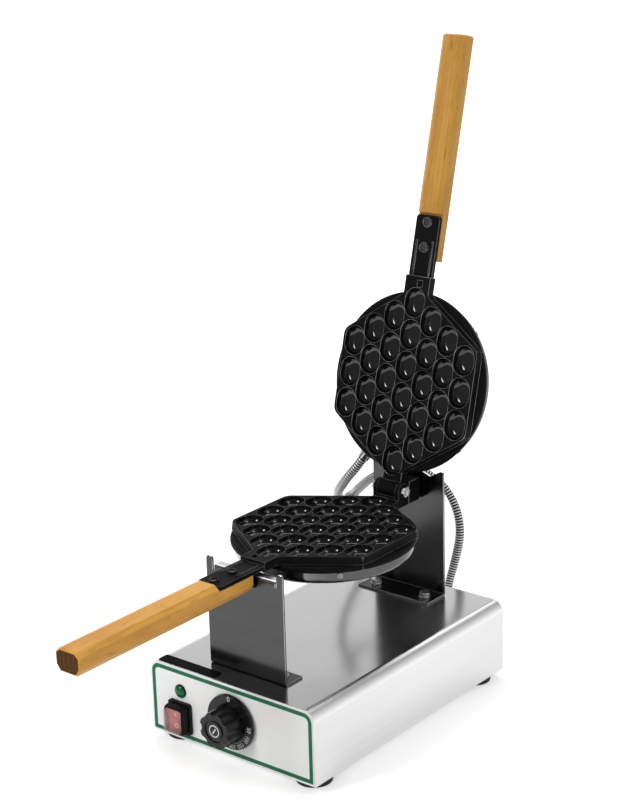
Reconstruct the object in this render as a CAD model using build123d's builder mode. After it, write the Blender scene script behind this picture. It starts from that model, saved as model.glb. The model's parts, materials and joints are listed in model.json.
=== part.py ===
from build123d import *
import os
from math import asin, cos, hypot, pi, radians, sin, tan

# Egg waffle maker: two hinged cast pans with wooden handles on a stainless steel base

os.makedirs("parts", exist_ok=True)

# Fits and clearances in millimetres
running_fit = 0.08
sheet_fit = 0.3
seat_gap = 0.3
screw_fit = 0.15

# Base casing
base_width = 208.0
base_before_bracket = 27.9
base_behind_bracket = 23.5
base_height = 77.0
base_sheet = 1.2
base_corner = 12.0
panel_return = 12.0
foot_height = 8.0
foot_radius = 12.0
foot_inset_x = 21.0
foot_inset_y = 24.0
foot_screw_radius = 2.0
foot_head_radius = 4.0
foot_head_depth = 3.0
foot_nut_hex = 7.0
lip_width = 12.0
bottom_screw_inset = 60.0
vent_length = 40.0
vent_width = 4.0
vent_pitch = 12.0
overlay_thickness = 0.4
overlay_border = 1.6

# Pans: distances are measured from the middle of the mating face
pan_above_base = 116.2
cell_pitch = 33.0
column_pitch = 23.15
column_cells = [3, 4, 5, 6, 5, 4, 3]
cell_length = 31.0
cell_width = 24.6
cell_depth = 8.6
cell_draft = 8.0
cell_floor_radius = 6.6
mould_side = 85.5
mould_shoulder = 44.5
mould_apex = 102.0
mould_corner = 13.0
mould_height = 8.0
mould_draft = 8.0
disc_overhang = 3.6
disc_thickness = 6.4
disc_bead = 2.6
register_fit = 0.4
register_wall = 5.0
register_height = 6.5

# Collar and tang between the pan and its handle
collar_width = 30.4
collar_fillet = 11.0
collar_start = 84.0
collar_end = 110.0
collar_depth = 9.7
tang_width = 29.0
tang_end = 173.4
tang_thickness = 4.0
tang_drop = 3.5
tang_keel_width = 16.0
tang_keel_end = 124.0
boss_places = [140.0, 166.0]
boss_radius = 5.0
boss_height = 2.3
boss_recess = 1.1
rib_offset = 9.8
rib_end = 147.0
rib_width = 1.8
rib_height = 1.0
recess_place = 102.5
recess_size = 6.6
recess_depth = 4.0

# Wooden handles
handle_start = 127.0
handle_end = 358.0
handle_width = 30.0
handle_bottom = 24.2
handle_face = 1.4
handle_top_flat = 19.0
handle_side_top = 5.8
handle_side_bottom = 17.4
handle_bottom_flat = 20.0
handle_end_chamfer = 1.6
handle_screw_radius = 2.0
handle_screw_head = 3.8
handle_screw_length = 19.0
tang_slack = 2.2

# Hinge
hinge_back = 112.4
hinge_rise = 4.5
face_gap = 0.2
open_angle = 104.74
hinge_pin_radius = 3.0
barrel_radius = 8.4
barrel_width = 23.0
ear_gap = 0.4
ear_thickness = 4.4
ear_radius = 9.0
hinge_hex = 10.0
hinge_head = 4.2
hinge_neck_depth = 12.0
arm_depth = 12.6
hinge_block_rear = 140.0
hinge_block_top = 12.0
block_screw_radius = 2.0
block_screw_head = 3.5
block_screw_x = 12.0
block_screw_level = -8.0
block_screw_length = 26.0

# Swivel in the rear bracket
swivel_radius = 6.0
swivel_spigot = 5.0
swivel_spigot_length = 12.0
bush_wall = 2.0
bush_flange_radius = 10.5
bush_flange = 2.0
swivel_washer_radius = 13.0
swivel_washer = 1.5
swivel_nut_hex = 18.0
swivel_nut_height = 8.0

# Brackets
bracket_sheet = 2.0
bracket_bend = 3.0
front_bracket_front = 123.1
front_bracket_width = 96.0
front_bracket_top = -1.8
front_foot_depth = 25.0
notch_width = 80.0
notch_level = -10.0
notch_flange = 10.5
rear_bracket_front = 142.5
rear_bracket_width = 91.0
rear_bracket_corner = 24.4
rear_foot_depth = 32.0
crown_valley_x = 28.4
crown_valley = 14.5
crown_step_x = 20.8
crown_step = 17.5
crown_middle_x = 12.0
crown_middle = 20.5
bracket_bolt_x = 31.5
bracket_bolt_radius = 3.0
bracket_bolt_hex = 10.0
bracket_bolt_head = 4.0
bracket_nut_height = 5.0
washer_radius = 6.3
washer_thickness = 1.0

# Heater covers and heaters
cover_radius = 90.4
cover_sheet = 1.0
register_radius = cover_radius - cover_sheet - register_fit
disc_radius = cover_radius + disc_overhang
cover_depth = 13.0
cover_corner = 7.0
cover_screw_radius = 1.5
cover_screw_head = 3.0
heater_radius = 58.0
heater_tube = 3.25
heater_opening = 30.0
heater_pin = 1.6
heater_pin_length = 14.0
insulation_radius = 76.0

# Controls on the front panel: x across, z from the mating face of the pans
knob_x = 3.5
knob_z = -153.0
lamp_shift = 0.6
lamp_z = -140.7
switch_inset = 39.6
switch_x = switch_inset - base_width / 2
lamp_x = switch_x + lamp_shift
switch_z = -168.5
dial_radius = 28.6
dial_standoff = 2.6
dial_thickness = 3.0
grip_radius = 19.5
grip_length = 22.0
grip_lobes = 8
grip_groove = 12.0
shaft_radius = 3.0
bushing_radius = 5.0
thermostat_radius = 20.0
thermostat_depth = 26.0
panel_nut_hex = 14.0
lamp_radius = 7.0
lamp_stem = 5.9
lamp_depth = 26.0
switch_width = 28.5
switch_height = 33.5
switch_flange = 3.6
switch_front = 9.5
switch_wall = 1.6
switch_cut_width = 24.0
switch_cut_height = 28.4
switch_depth = 24.0
switch_blade_spacing = 12.0
blade_width = 6.3
blade_thickness = 0.8
blade_spacing = (16.0, 10.0)
rocker_width = 20.8
rocker_height = 24.4
rocker_end = 6.0
rocker_middle = 4.2
rocker_tilt = 7.0
rocker_pin = 1.8

# Conduits, their glands and the mains cable gland
hose_radius = 5.2
hose_bore = 3.6
hose_run = 18.0
conduit_angle = 30.0
conduit_level = 6.4
dish_spigot_radius = 4.2
dish_spigot_length = 4.0
dish_collar_radius = 6.0
dish_ferrule_radius = 6.2
rear_spigot_radius = 6.0
rear_gland_hex = 17.0
rear_ferrule_radius = 8.0
gland_hex_height = 5.0
gland_ferrule = 8.3
gland_seat = 8.0
gland_nut_height = 3.0
wire_radius = 3.0
rear_gland_x = [8.0, -64.0]
mains_gland_inset = 30.0
rear_gland_height = 33.2
terminal_width = 46.0
terminal_depth = 18.0
terminal_height = 14.0
terminal_inset_x = 48.0
terminal_inset_y = 60.0

# Derived levels and places
base_bottom = foot_height
base_top = base_bottom + base_height
parting_z = base_top + pan_above_base
open_sin = sin(radians(open_angle))
open_cos = cos(radians(open_angle))
open_centre_y = hinge_back - hinge_back * open_cos - (hinge_rise - face_gap) * open_sin
open_centre_z = hinge_rise + hinge_back * open_sin - (hinge_rise - face_gap) * open_cos
rear_reach = open_centre_y - (handle_end - handle_end_chamfer) * open_cos + handle_bottom * open_sin
pan_y = (handle_end - rear_reach) / 2
base_front = pan_y - front_bracket_front - base_before_bracket
base_rear = pan_y + rear_bracket_front + base_behind_bracket
base_depth = base_rear - base_front
mains_gland_x = base_width / 2 - mains_gland_inset
hinge_y = pan_y + hinge_back
hinge_z = parting_z + hinge_rise
disc_bottom = mould_height + disc_thickness
cover_bottom = disc_bottom + cover_depth
tang_bottom = tang_drop + tang_thickness
screw_level = tang_drop - boss_height + boss_recess
gland_level = base_bottom + rear_gland_height
barrel_level = hinge_rise - face_gap

# The mating faces: local x across, local y towards the handle, local z out of the pan's back
lower_face = Plane(origin=(0, pan_y, parting_z), x_dir=(1, 0, 0), z_dir=(0, 0, -1))
upper_face = Plane(
    origin=(0, pan_y + open_centre_y, parting_z + open_centre_z),
    x_dir=(-1, 0, 0),
    z_dir=(0, open_sin, open_cos),
)

print("pan_y", pan_y, "parting_z", parting_z, "hinge", hinge_y, hinge_z)


# Base casing: top and two sides folded from one sheet, with lips along the bottom
def casing_outline(inset, bottom):
    """Rounded casing section, inset from the outer skin, standing on the level bottom."""
    height = base_top - inset - bottom
    with Locations((0, bottom + height / 2)):
        outline = Rectangle(base_width - 2 * inset, height)
    fillet(outline.vertices().group_by(Axis.Y)[-1], base_corner - inset)


bracket_rows = {
    "front": pan_y - front_bracket_front + bracket_sheet + front_foot_depth / 2,
    "rear": pan_y + rear_bracket_front - rear_foot_depth / 2,
}
bolt_points = [(x, row) for row in bracket_rows.values() for x in (-bracket_bolt_x, bracket_bolt_x)]

lip_points = [
    (side * (base_width / 2 - base_sheet - lip_width / 2), y)
    for side in (-1, 1)
    for y in (base_front + bottom_screw_inset, base_rear - bottom_screw_inset)
]
with BuildPart() as base_casing:
    with BuildSketch(Plane.XZ.offset(-(base_rear - base_sheet))):
        casing_outline(0, base_bottom)
    extrude(amount=base_depth - 2 * base_sheet)
    with BuildSketch(Plane.XZ.offset(-base_rear)):
        casing_outline(base_sheet, base_bottom - base_sheet)
    extrude(amount=base_depth, mode=Mode.SUBTRACT)
    with BuildSketch(Plane.XZ.offset(-(base_rear - panel_return - 2 * base_sheet))):
        for side in (-1, 1):
            with Locations((side * (base_width / 2 - base_sheet - lip_width / 2), base_bottom + 1.5 * base_sheet)):
                Rectangle(lip_width, base_sheet)
    extrude(amount=base_depth - 2 * panel_return - 4 * base_sheet)
    with BuildSketch(Plane.XY.offset(base_bottom + base_sheet)):
        with Locations(*lip_points):
            Circle(foot_screw_radius + screw_fit)
    extrude(amount=base_sheet, mode=Mode.SUBTRACT)
    with BuildSketch(Plane.XY.offset(base_top)):
        with Locations(*bolt_points):
            Circle(bracket_bolt_radius + screw_fit)
    extrude(amount=-2 * base_sheet, mode=Mode.SUBTRACT)
base_casing.part.label = "base_casing"
export_step(base_casing.part, "parts/base_casing.step")


# Front and rear panels: flat plates with a return flange inside the casing
def end_panel(outer_y, inward):
    """A panel whose outer skin is at outer_y; inward is +1 or -1 along Y."""
    with BuildPart() as panel:
        with BuildSketch(Plane.XZ.offset(-outer_y)):
            casing_outline(0, base_bottom)
        extrude(amount=-inward * base_sheet)
        with BuildSketch(Plane.XZ.offset(-(outer_y + inward * base_sheet))):
            casing_outline(base_sheet + sheet_fit, base_bottom + 2 * base_sheet + sheet_fit)
            casing_hollow(2 * base_sheet + sheet_fit, base_bottom + 3 * base_sheet + sheet_fit)
        extrude(amount=-inward * panel_return)
    return panel.part


def casing_hollow(inset, bottom):
    """The casing section taken away from the sketch in hand."""
    height = base_top - inset - bottom
    radius = base_corner - inset
    with Locations((0, bottom + height / 2)):
        Rectangle(base_width - 2 * inset, height - 2 * radius, mode=Mode.SUBTRACT)
        Rectangle(base_width - 2 * inset - 2 * radius, height, mode=Mode.SUBTRACT)
    for side in (-1, 1):
        with Locations((side * (base_width / 2 - inset - radius), base_top - inset - radius)):
            Circle(radius, mode=Mode.SUBTRACT)
        with Locations((side * (base_width / 2 - inset - radius / 2), bottom + radius / 2)):
            Rectangle(radius, radius, mode=Mode.SUBTRACT)


control_plane = Plane.XZ.offset(-base_front)
front_plate = end_panel(base_front, 1)
rear_plate = end_panel(base_rear, -1)


def control_outlines():
    """Openings for the lamp, the switch and the thermostat in the sketch in hand."""
    with Locations((lamp_x, parting_z + lamp_z)):
        Circle(lamp_stem + screw_fit)
    with Locations((knob_x, parting_z + knob_z)):
        Circle(bushing_radius + screw_fit)
    with Locations((switch_x, parting_z + switch_z)):
        Rectangle(switch_cut_width + 2 * screw_fit, switch_cut_height + 2 * screw_fit)


with BuildPart() as front_panel:
    add(front_plate)
    with BuildSketch(control_plane):
        control_outlines()
    extrude(amount=-base_sheet, mode=Mode.SUBTRACT)
front_panel.part.label = "front_panel"
export_step(front_panel.part, "parts/front_panel.step")

with BuildPart() as panel_overlay:
    with BuildSketch(control_plane):
        casing_outline(overlay_border, base_bottom + overlay_border)
    extrude(amount=overlay_thickness)
    with BuildSketch(control_plane):
        control_outlines()
    extrude(amount=overlay_thickness, mode=Mode.SUBTRACT)
panel_overlay.part.label = "panel_overlay"
export_step(panel_overlay.part, "parts/panel_overlay.step")

with BuildPart() as rear_panel:
    add(rear_plate)
    with BuildSketch(Plane.XZ.offset(-base_rear)):
        with Locations(*[(x, gland_level) for x in rear_gland_x + [mains_gland_x]]):
            Circle(rear_spigot_radius + screw_fit)
    extrude(amount=base_sheet, mode=Mode.SUBTRACT)
rear_panel.part.label = "rear_panel"
export_step(rear_panel.part, "parts/rear_panel.step")

# Bottom plate with rows of cooling slots, under the lips of the casing
foot_points = [
    (side * (base_width / 2 - foot_inset_x), y)
    for side in (-1, 1)
    for y in (base_front + foot_inset_y, base_rear - foot_inset_y)
]
with BuildPart() as bottom_plate:
    with BuildSketch(Plane.XY.offset(base_bottom)):
        with Locations((0, (base_front + base_rear) / 2)):
            Rectangle(
                base_width - 2 * (base_sheet + sheet_fit),
                base_depth - 2 * (base_sheet + sheet_fit),
            )
            with GridLocations(vent_length + vent_pitch, vent_pitch, 2, 7):
                SlotOverall(vent_length, vent_width, mode=Mode.SUBTRACT)
        with Locations(*foot_points, *lip_points):
            Circle(foot_screw_radius + screw_fit, mode=Mode.SUBTRACT)
    extrude(amount=base_sheet)
bottom_plate.part.label = "bottom_plate"
export_step(bottom_plate.part, "parts/bottom_plate.step")

# Rubber feet with a counterbore for their screws
with BuildPart() as rubber_feet:
    with BuildSketch(Plane.XY.offset(foot_height)):
        with Locations(*foot_points):
            Circle(foot_radius)
    extrude(amount=-foot_height, taper=8)
    with Locations(*[(x, y, 0) for x, y in foot_points]):
        Cylinder(
            foot_head_radius + screw_fit,
            2 * foot_head_depth,
            mode=Mode.SUBTRACT,
        )
        Cylinder(foot_screw_radius + screw_fit, 3 * foot_height, mode=Mode.SUBTRACT)
rubber_feet.part.label = "rubber_feet"
export_step(rubber_feet.part, "parts/rubber_feet.step")

with BuildPart() as foot_screws:
    with BuildSketch(Plane.XY.offset(foot_head_depth)):
        with Locations(*foot_points):
            Circle(foot_head_radius)
    extrude(amount=-foot_head_depth / 2)
    with BuildSketch(Plane.XY.offset(foot_head_depth)):
        with Locations(*foot_points):
            Circle(foot_screw_radius)
    extrude(amount=foot_height - foot_head_depth + 2 * base_sheet)
foot_screws.part.label = "foot_screws"
export_step(foot_screws.part, "parts/foot_screws.step")


# Radial directions round a pan's back, as angles in its own plane
def radial_direction(face, angle):
    """Unit vector along the pan's plane at an angle from its local x."""
    return face.x_dir * cos(radians(angle)) + face.y_dir * sin(radians(angle))


def radial_plane(face, angle, radius, level):
    """A plane facing outward at a radius and a depth behind the mating face."""
    place = Vector(radius * cos(radians(angle)), radius * sin(radians(angle)), level)
    return Plane(
        origin=face.from_local_coords(place),
        x_dir=face.z_dir,
        z_dir=radial_direction(face, angle),
    )


def axial_plane(face, angle):
    """A plane through the pan's axis: local x outward, local y out of the back."""
    outward = radial_direction(face, angle)
    return Plane(origin=face.origin, x_dir=outward, z_dir=outward.cross(face.z_dir))


def conduit_direction(side):
    """Angle of the conduit's exit, beside the hinge end; side is its sign along local x."""
    return -90 + side * conduit_angle


cover_screw_angles = [42, 138, 222, 318]
cover_screw_level = disc_bottom + cover_screw_head + seat_gap


# Pans
def cell_points():
    """Cell centres in a pan: columns along the handle direction, each centred."""
    middle = (len(column_cells) - 1) / 2
    return [
        ((column - middle) * column_pitch, (cell - (count - 1) / 2) * cell_pitch)
        for column, count in enumerate(column_cells)
        for cell in range(count)
    ]


def mould_outline():
    """Hexagon round the outer cells, with its corners rounded."""
    corners = [
        (0, mould_apex),
        (mould_side, mould_shoulder),
        (mould_side, -mould_shoulder),
        (0, -mould_apex),
        (-mould_side, -mould_shoulder),
        (-mould_side, mould_shoulder),
    ]
    outline = Polygon(*corners, align=None)
    fillet(outline.vertices(), mould_corner)


def cast_pan(face, conduit_side):
    """The casting without its hinge: mould, disc, register ring, collar and tang."""
    with BuildPart() as pan:
        with BuildSketch(face.offset(mould_height)) as body:
            mould_outline()
            with Locations((0, mould_apex + 1)):
                Rectangle(collar_width, mould_apex + 1 - collar_start, align=(Align.CENTER, Align.MAX))
            corners = [v for v in body.vertices() if abs(abs(v.X) - collar_width / 2) < 0.01 and v.Y < mould_apex]
            fillet(corners, collar_fillet)
        extrude(amount=-mould_height, taper=mould_draft)
        with BuildSketch(axial_plane(face, 0)):
            with Locations((0, mould_height)):
                bead = Rectangle(disc_radius, disc_thickness, align=(Align.MIN, Align.MIN))
            fillet(bead.vertices().group_by(Axis.X)[-1], disc_bead)
        revolve(axis=Axis(face.origin, face.z_dir))
        with BuildSketch(face.offset(disc_bottom)):
            Circle(register_radius)
            Circle(register_radius - register_wall, mode=Mode.SUBTRACT)
        extrude(amount=register_height)
        with BuildSketch(radial_plane(face, conduit_direction(conduit_side), register_radius, disc_bottom)):
            Rectangle(2 * register_height, 2 * dish_ferrule_radius + 2, align=(Align.MIN, Align.CENTER))
        extrude(amount=-2 * register_wall, mode=Mode.SUBTRACT)
        for angle in cover_screw_angles:
            with BuildSketch(radial_plane(face, angle, register_radius, cover_screw_level)):
                Circle(cover_screw_radius + screw_fit)
            extrude(amount=-2 * register_wall, mode=Mode.SUBTRACT)
        with BuildSketch(face):
            with Locations((0, (collar_start + collar_end) / 2)):
                Rectangle(collar_width, collar_end - collar_start)
        extrude(amount=collar_depth)
        with BuildSketch(face.offset(tang_drop)):
            with Locations((0, (collar_start + tang_end) / 2)):
                tang = Rectangle(tang_width, tang_end - collar_start)
                fillet(tang.vertices().group_by(Axis.Y)[-1], 4)
        extrude(amount=tang_thickness)
        with BuildSketch(face.offset(tang_bottom)):
            with Locations((0, (collar_start + tang_keel_end) / 2)):
                Rectangle(tang_keel_width, tang_keel_end - collar_start)
        extrude(amount=collar_depth - tang_bottom)
        with BuildSketch(face.offset(tang_drop)):
            for side in (-1, 1):
                with Locations((side * rib_offset, (collar_end + rib_end) / 2 - 1)):
                    SlotOverall(rib_end - collar_end + 2, rib_width, rotation=90)
            with Locations(*[(0, place) for place in boss_places]):
                Circle(boss_radius)
        extrude(amount=-rib_height)
        with BuildSketch(face.offset(tang_drop)):
            with Locations(*[(0, place) for place in boss_places]):
                Circle(boss_radius)
        extrude(amount=-boss_height)
        with BuildSketch(face.offset(tang_drop - boss_height)):
            with Locations(*[(0, place) for place in boss_places]):
                Circle(handle_screw_radius + screw_fit)
        extrude(amount=tang_thickness + boss_height, mode=Mode.SUBTRACT)
        with BuildSketch(face.offset(tang_drop - boss_height)):
            with Locations(*[(0, place) for place in boss_places]):
                Circle(handle_screw_head + screw_fit)
        extrude(amount=boss_recess, mode=Mode.SUBTRACT)
        with BuildSketch(face.offset(screw_level)):
            with Locations(*[(0, place) for place in boss_places]):
                Circle(handle_screw_head + screw_fit)
        extrude(amount=handle_screw_head - handle_screw_radius, taper=45, mode=Mode.SUBTRACT)
        with BuildSketch(face):
            with Locations((-recess_size / 2, recess_place)):
                Rectangle(recess_size, recess_size)
        extrude(amount=recess_depth, mode=Mode.SUBTRACT)
    return pan.part


# One egg-shaped cell as the space it leaves in a pan, sunk along z from the mating face
half_straight = (cell_length - cell_width) / 2
cell_rim = cell_width / 2
cell_floor = cell_rim - cell_depth * tan(radians(cell_draft))
with BuildPart() as cell_space:
    with BuildSketch(Plane.XZ.offset(half_straight)):
        profile = Polygon((-cell_rim, 0), (cell_rim, 0), (cell_floor, cell_depth), (-cell_floor, cell_depth), align=None)
        fillet(profile.vertices().group_by(Axis.Y)[-1], cell_floor_radius)
    extrude(amount=-2 * half_straight)
    for side in (-1, 1):
        end_plane = Plane(origin=(0, side * half_straight, 0), x_dir=(side, 0, 0), z_dir=(0, -side, 0))
        with BuildSketch(end_plane):
            profile = Polygon((0, 0), (cell_rim, 0), (cell_floor, cell_depth), (0, cell_depth), align=None)
            fillet(profile.vertices().group_by(Axis.Y)[-1].sort_by(Axis.X)[-1], cell_floor_radius)
        revolve(axis=Axis(end_plane.origin, (0, 0, 1)), revolution_arc=180)


# Hinge: the lower pan has two ears, the upper pan one barrel between them
across = Plane.YZ
ear_inner = barrel_width / 2 + ear_gap
ear_outer = ear_inner + ear_thickness
neck_start = 92.0
block_front = hinge_back + ear_radius + seat_gap
block_depth = hinge_block_rear - block_front - block_screw_head
block_screw_points = [(side * block_screw_x, parting_z + block_screw_level) for side in (-1, 1)]

lower_casting = cast_pan(lower_face, -1)
upper_casting = cast_pan(upper_face, 1)

with BuildPart() as lower_mould:
    add(lower_casting)
    with BuildSketch(across.offset(-ear_outer)):
        with BuildLine():
            Polyline(
                (pan_y + neck_start, parting_z - tang_drop),
                (pan_y + neck_start, parting_z - hinge_neck_depth),
                (hinge_y + ear_radius, parting_z - hinge_neck_depth),
                (hinge_y + ear_radius, hinge_z),
                (hinge_y - ear_radius, hinge_z),
                (hinge_y - ear_radius, parting_z - tang_drop),
                close=True,
            )
        make_face()
        with Locations((hinge_y, hinge_z)):
            Circle(ear_radius)
    extrude(amount=2 * ear_outer)
    with BuildSketch(across.offset(-ear_inner)):
        with Locations((hinge_y, hinge_z)):
            Circle(barrel_radius + 2 * seat_gap)
            Rectangle(2 * (barrel_radius + 2 * seat_gap), 2 * ear_radius, align=(Align.CENTER, Align.MIN))
        with Locations((hinge_y, parting_z - seat_gap)):
            Rectangle(ear_radius + 2 * seat_gap, 2 * ear_radius, align=(Align.MAX, Align.MIN))
        with Locations((hinge_y, hinge_z - barrel_radius / 2)):
            Rectangle(2 * ear_radius, ear_radius, align=(Align.MIN, Align.MIN))
    extrude(amount=2 * ear_inner, mode=Mode.SUBTRACT)
    with BuildSketch(across.offset(-ear_outer)):
        with Locations((hinge_y, hinge_z)):
            Circle(hinge_pin_radius + running_fit)
    extrude(amount=2 * ear_outer, mode=Mode.SUBTRACT)
    with BuildSketch(Plane.XZ.offset(-(hinge_y + ear_radius))):
        with Locations(*block_screw_points):
            Circle(block_screw_radius + screw_fit)
    extrude(amount=block_screw_length - block_depth + 2, mode=Mode.SUBTRACT)
    with Locations(lower_face):
        with Locations(*cell_points()):
            add(cell_space.part, mode=Mode.SUBTRACT)
lower_mould.part.label = "lower_mould"
export_step(lower_mould.part, "parts/lower_mould.step")

# In the upper pan's own frame the hinge axis lies at this place
barrel_plane = Plane(
    origin=upper_face.from_local_coords(Vector(barrel_width / 2, -hinge_back, barrel_level)),
    x_dir=upper_face.y_dir,
    z_dir=-upper_face.x_dir,
)
arm_start = 90.0
with BuildPart() as upper_mould:
    add(upper_casting)
    with BuildSketch(upper_face.offset(tang_drop)):
        with Locations((0, -(arm_start + hinge_back) / 2)):
            Rectangle(barrel_width, hinge_back - arm_start)
    extrude(amount=arm_depth - tang_drop)
    with BuildSketch(barrel_plane):
        Circle(barrel_radius)
    extrude(amount=barrel_width)
    with BuildSketch(barrel_plane):
        Circle(hinge_pin_radius + running_fit)
    extrude(amount=barrel_width, mode=Mode.SUBTRACT)
    with Locations(upper_face):
        with Locations(*cell_points()):
            add(cell_space.part, mode=Mode.SUBTRACT)
upper_mould.part.label = "upper_mould"
export_step(upper_mould.part, "parts/upper_mould.step")

# Hinge bolt with its hexagon head on the left and its nut on the right
with BuildPart() as hinge_bolt:
    with BuildSketch(across.offset(-ear_outer)):
        with Locations((hinge_y, hinge_z)):
            Circle(hinge_pin_radius)
    extrude(amount=2 * ear_outer + hinge_head + 1.5)
    with BuildSketch(across.offset(-ear_outer - hinge_head)):
        with Locations((hinge_y, hinge_z)):
            RegularPolygon(hinge_hex / 2, 6, major_radius=False)
    extrude(amount=hinge_head)
hinge_bolt.part.label = "hinge_bolt"
export_step(hinge_bolt.part, "parts/hinge_bolt.step")

with BuildPart() as hinge_nut:
    with BuildSketch(across.offset(ear_outer)):
        with Locations((hinge_y, hinge_z)):
            RegularPolygon(hinge_hex / 2, 6, major_radius=False)
            Circle(hinge_pin_radius + screw_fit / 2, mode=Mode.SUBTRACT)
    extrude(amount=hinge_head)
hinge_nut.part.label = "hinge_nut"
export_step(hinge_nut.part, "parts/hinge_nut.step")

# Hinge block: joins the lower pan to the swivel and stops the open lid with its sloping face
stop_shift = hinge_back + (arm_depth - barrel_level + seat_gap) / open_sin
slope = -open_cos / open_sin


def stop_y(level):
    """Distance of the block's sloping face behind the pan's middle, at a level over the hinge."""
    return stop_shift + slope * level


block_bottom = parting_z - hinge_neck_depth
block_top = parting_z + hinge_block_top
block_rear = Plane.XZ.offset(-(pan_y + hinge_block_rear))
with BuildPart() as hinge_block:
    with BuildSketch(across.offset(-ear_outer)):
        with BuildLine():
            Polyline(
                (pan_y + block_front, block_bottom),
                (pan_y + hinge_block_rear, block_bottom),
                (pan_y + hinge_block_rear, block_top),
                (pan_y + stop_y(hinge_block_top - hinge_rise), block_top),
                (pan_y + block_front, hinge_z + (block_front - stop_shift) / slope),
                close=True,
            )
        make_face()
    extrude(amount=2 * ear_outer)
    with BuildSketch(block_rear):
        with Locations((0, parting_z)):
            Circle(swivel_spigot + screw_fit)
    extrude(amount=swivel_spigot_length + screw_fit, mode=Mode.SUBTRACT)
    with BuildSketch(block_rear):
        with Locations(*block_screw_points):
            Circle(block_screw_radius + screw_fit)
    extrude(amount=hinge_block_rear, mode=Mode.SUBTRACT)
    with BuildSketch(block_rear):
        with Locations(*block_screw_points):
            Circle(block_screw_head + screw_fit)
    extrude(amount=block_screw_head, mode=Mode.SUBTRACT)
hinge_block.part.label = "hinge_block"
export_step(hinge_block.part, "parts/hinge_block.step")

with BuildPart() as hinge_block_screws:
    with BuildSketch(block_rear):
        with Locations(*block_screw_points):
            Circle(block_screw_head)
    extrude(amount=block_screw_head)
    with BuildSketch(block_rear):
        with Locations(*block_screw_points):
            Circle(block_screw_radius)
    extrude(amount=block_screw_length + block_screw_head)
hinge_block_screws.part.label = "hinge_block_screws"
export_step(hinge_block_screws.part, "parts/hinge_block_screws.step")


# Swivel: shaft from the hinge block through a bush in the rear bracket, held by washer and nut
bracket_front = pan_y + rear_bracket_front
bracket_back = bracket_front + bracket_sheet
washer_front = bracket_back + 2 * seat_gap + 0.5
nut_front = washer_front + swivel_washer
bush_radius = swivel_radius + running_fit + bush_wall


def upright(y):
    """A plane across the base at y, facing the rear."""
    return Plane(origin=(0, y, 0), x_dir=(-1, 0, 0), z_dir=(0, 1, 0))


with BuildPart() as swivel_shaft:
    with BuildSketch(upright(pan_y + hinge_block_rear)):
        with Locations((0, parting_z)):
            Circle(swivel_spigot)
    extrude(amount=-swivel_spigot_length)
    with BuildSketch(upright(pan_y + hinge_block_rear)):
        with Locations((0, parting_z)):
            Circle(swivel_radius)
    extrude(amount=nut_front + swivel_nut_height + 1.5 - pan_y - hinge_block_rear)
    chamfer(swivel_shaft.faces().sort_by(Axis.Y)[-1].edges(), 0.8)
swivel_shaft.part.label = "swivel_shaft"
export_step(swivel_shaft.part, "parts/swivel_shaft.step")

with BuildPart() as swivel_bush:
    with BuildSketch(upright(bracket_front)):
        with Locations((0, parting_z)):
            Circle(bush_flange_radius)
    extrude(amount=-bush_flange)
    with BuildSketch(upright(bracket_front)):
        with Locations((0, parting_z)):
            Circle(bush_radius)
    extrude(amount=washer_front - seat_gap - bracket_front)
    with BuildSketch(upright(bracket_front - bush_flange)):
        with Locations((0, parting_z)):
            Circle(swivel_radius + running_fit)
    extrude(amount=2 * swivel_nut_height, mode=Mode.SUBTRACT)
swivel_bush.part.label = "swivel_bush"
export_step(swivel_bush.part, "parts/swivel_bush.step")

with BuildPart() as swivel_washer_disc:
    with BuildSketch(upright(washer_front)):
        with Locations((0, parting_z)):
            Circle(swivel_washer_radius)
            Circle(swivel_radius + screw_fit, mode=Mode.SUBTRACT)
    extrude(amount=swivel_washer)
swivel_washer_disc.part.label = "swivel_washer"
export_step(swivel_washer_disc.part, "parts/swivel_washer.step")

with BuildPart() as swivel_nut:
    with BuildSketch(upright(nut_front)):
        with Locations((0, parting_z)):
            RegularPolygon(swivel_nut_hex / 2, 6, major_radius=False)
            Circle(swivel_radius + screw_fit, mode=Mode.SUBTRACT)
    extrude(amount=swivel_nut_height)
swivel_nut.part.label = "swivel_nut"
export_step(swivel_nut.part, "parts/swivel_nut.step")


# Sheet brackets: each has a foot bolted to the top of the base
def folded_strip(face_y, towards, heights, foot_depth, flange_depth, width):
    """Bent strip across X: a foot, an upright and, where flange_depth is set, a top flange."""
    low, high = heights
    section = [(foot_depth, low), (0, low), (0, high)]
    if flange_depth > 0:
        section += [(flange_depth, high), (flange_depth, high - bracket_sheet)]
        section += [(bracket_sheet, high - bracket_sheet)]
    else:
        section += [(bracket_sheet, high)]
    section += [(bracket_sheet, low + bracket_sheet), (foot_depth, low + bracket_sheet)]
    places = [(face_y + towards * y, z) for y, z in section]
    bends = [(places[1], bracket_bend), (places[-2], bracket_bend - bracket_sheet)]
    if flange_depth > 0:
        bends += [(places[2], bracket_bend), (places[5], bracket_bend - bracket_sheet)]
    with BuildPart() as strip:
        with BuildSketch(Plane.YZ.offset(-width / 2)):
            profile = Polygon(*places, align=None)
            for place, radius in bends:
                profile = fillet(profile.vertices().sort_by_distance((*place, 0))[0], radius)
        extrude(amount=width)
    return strip.part


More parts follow.
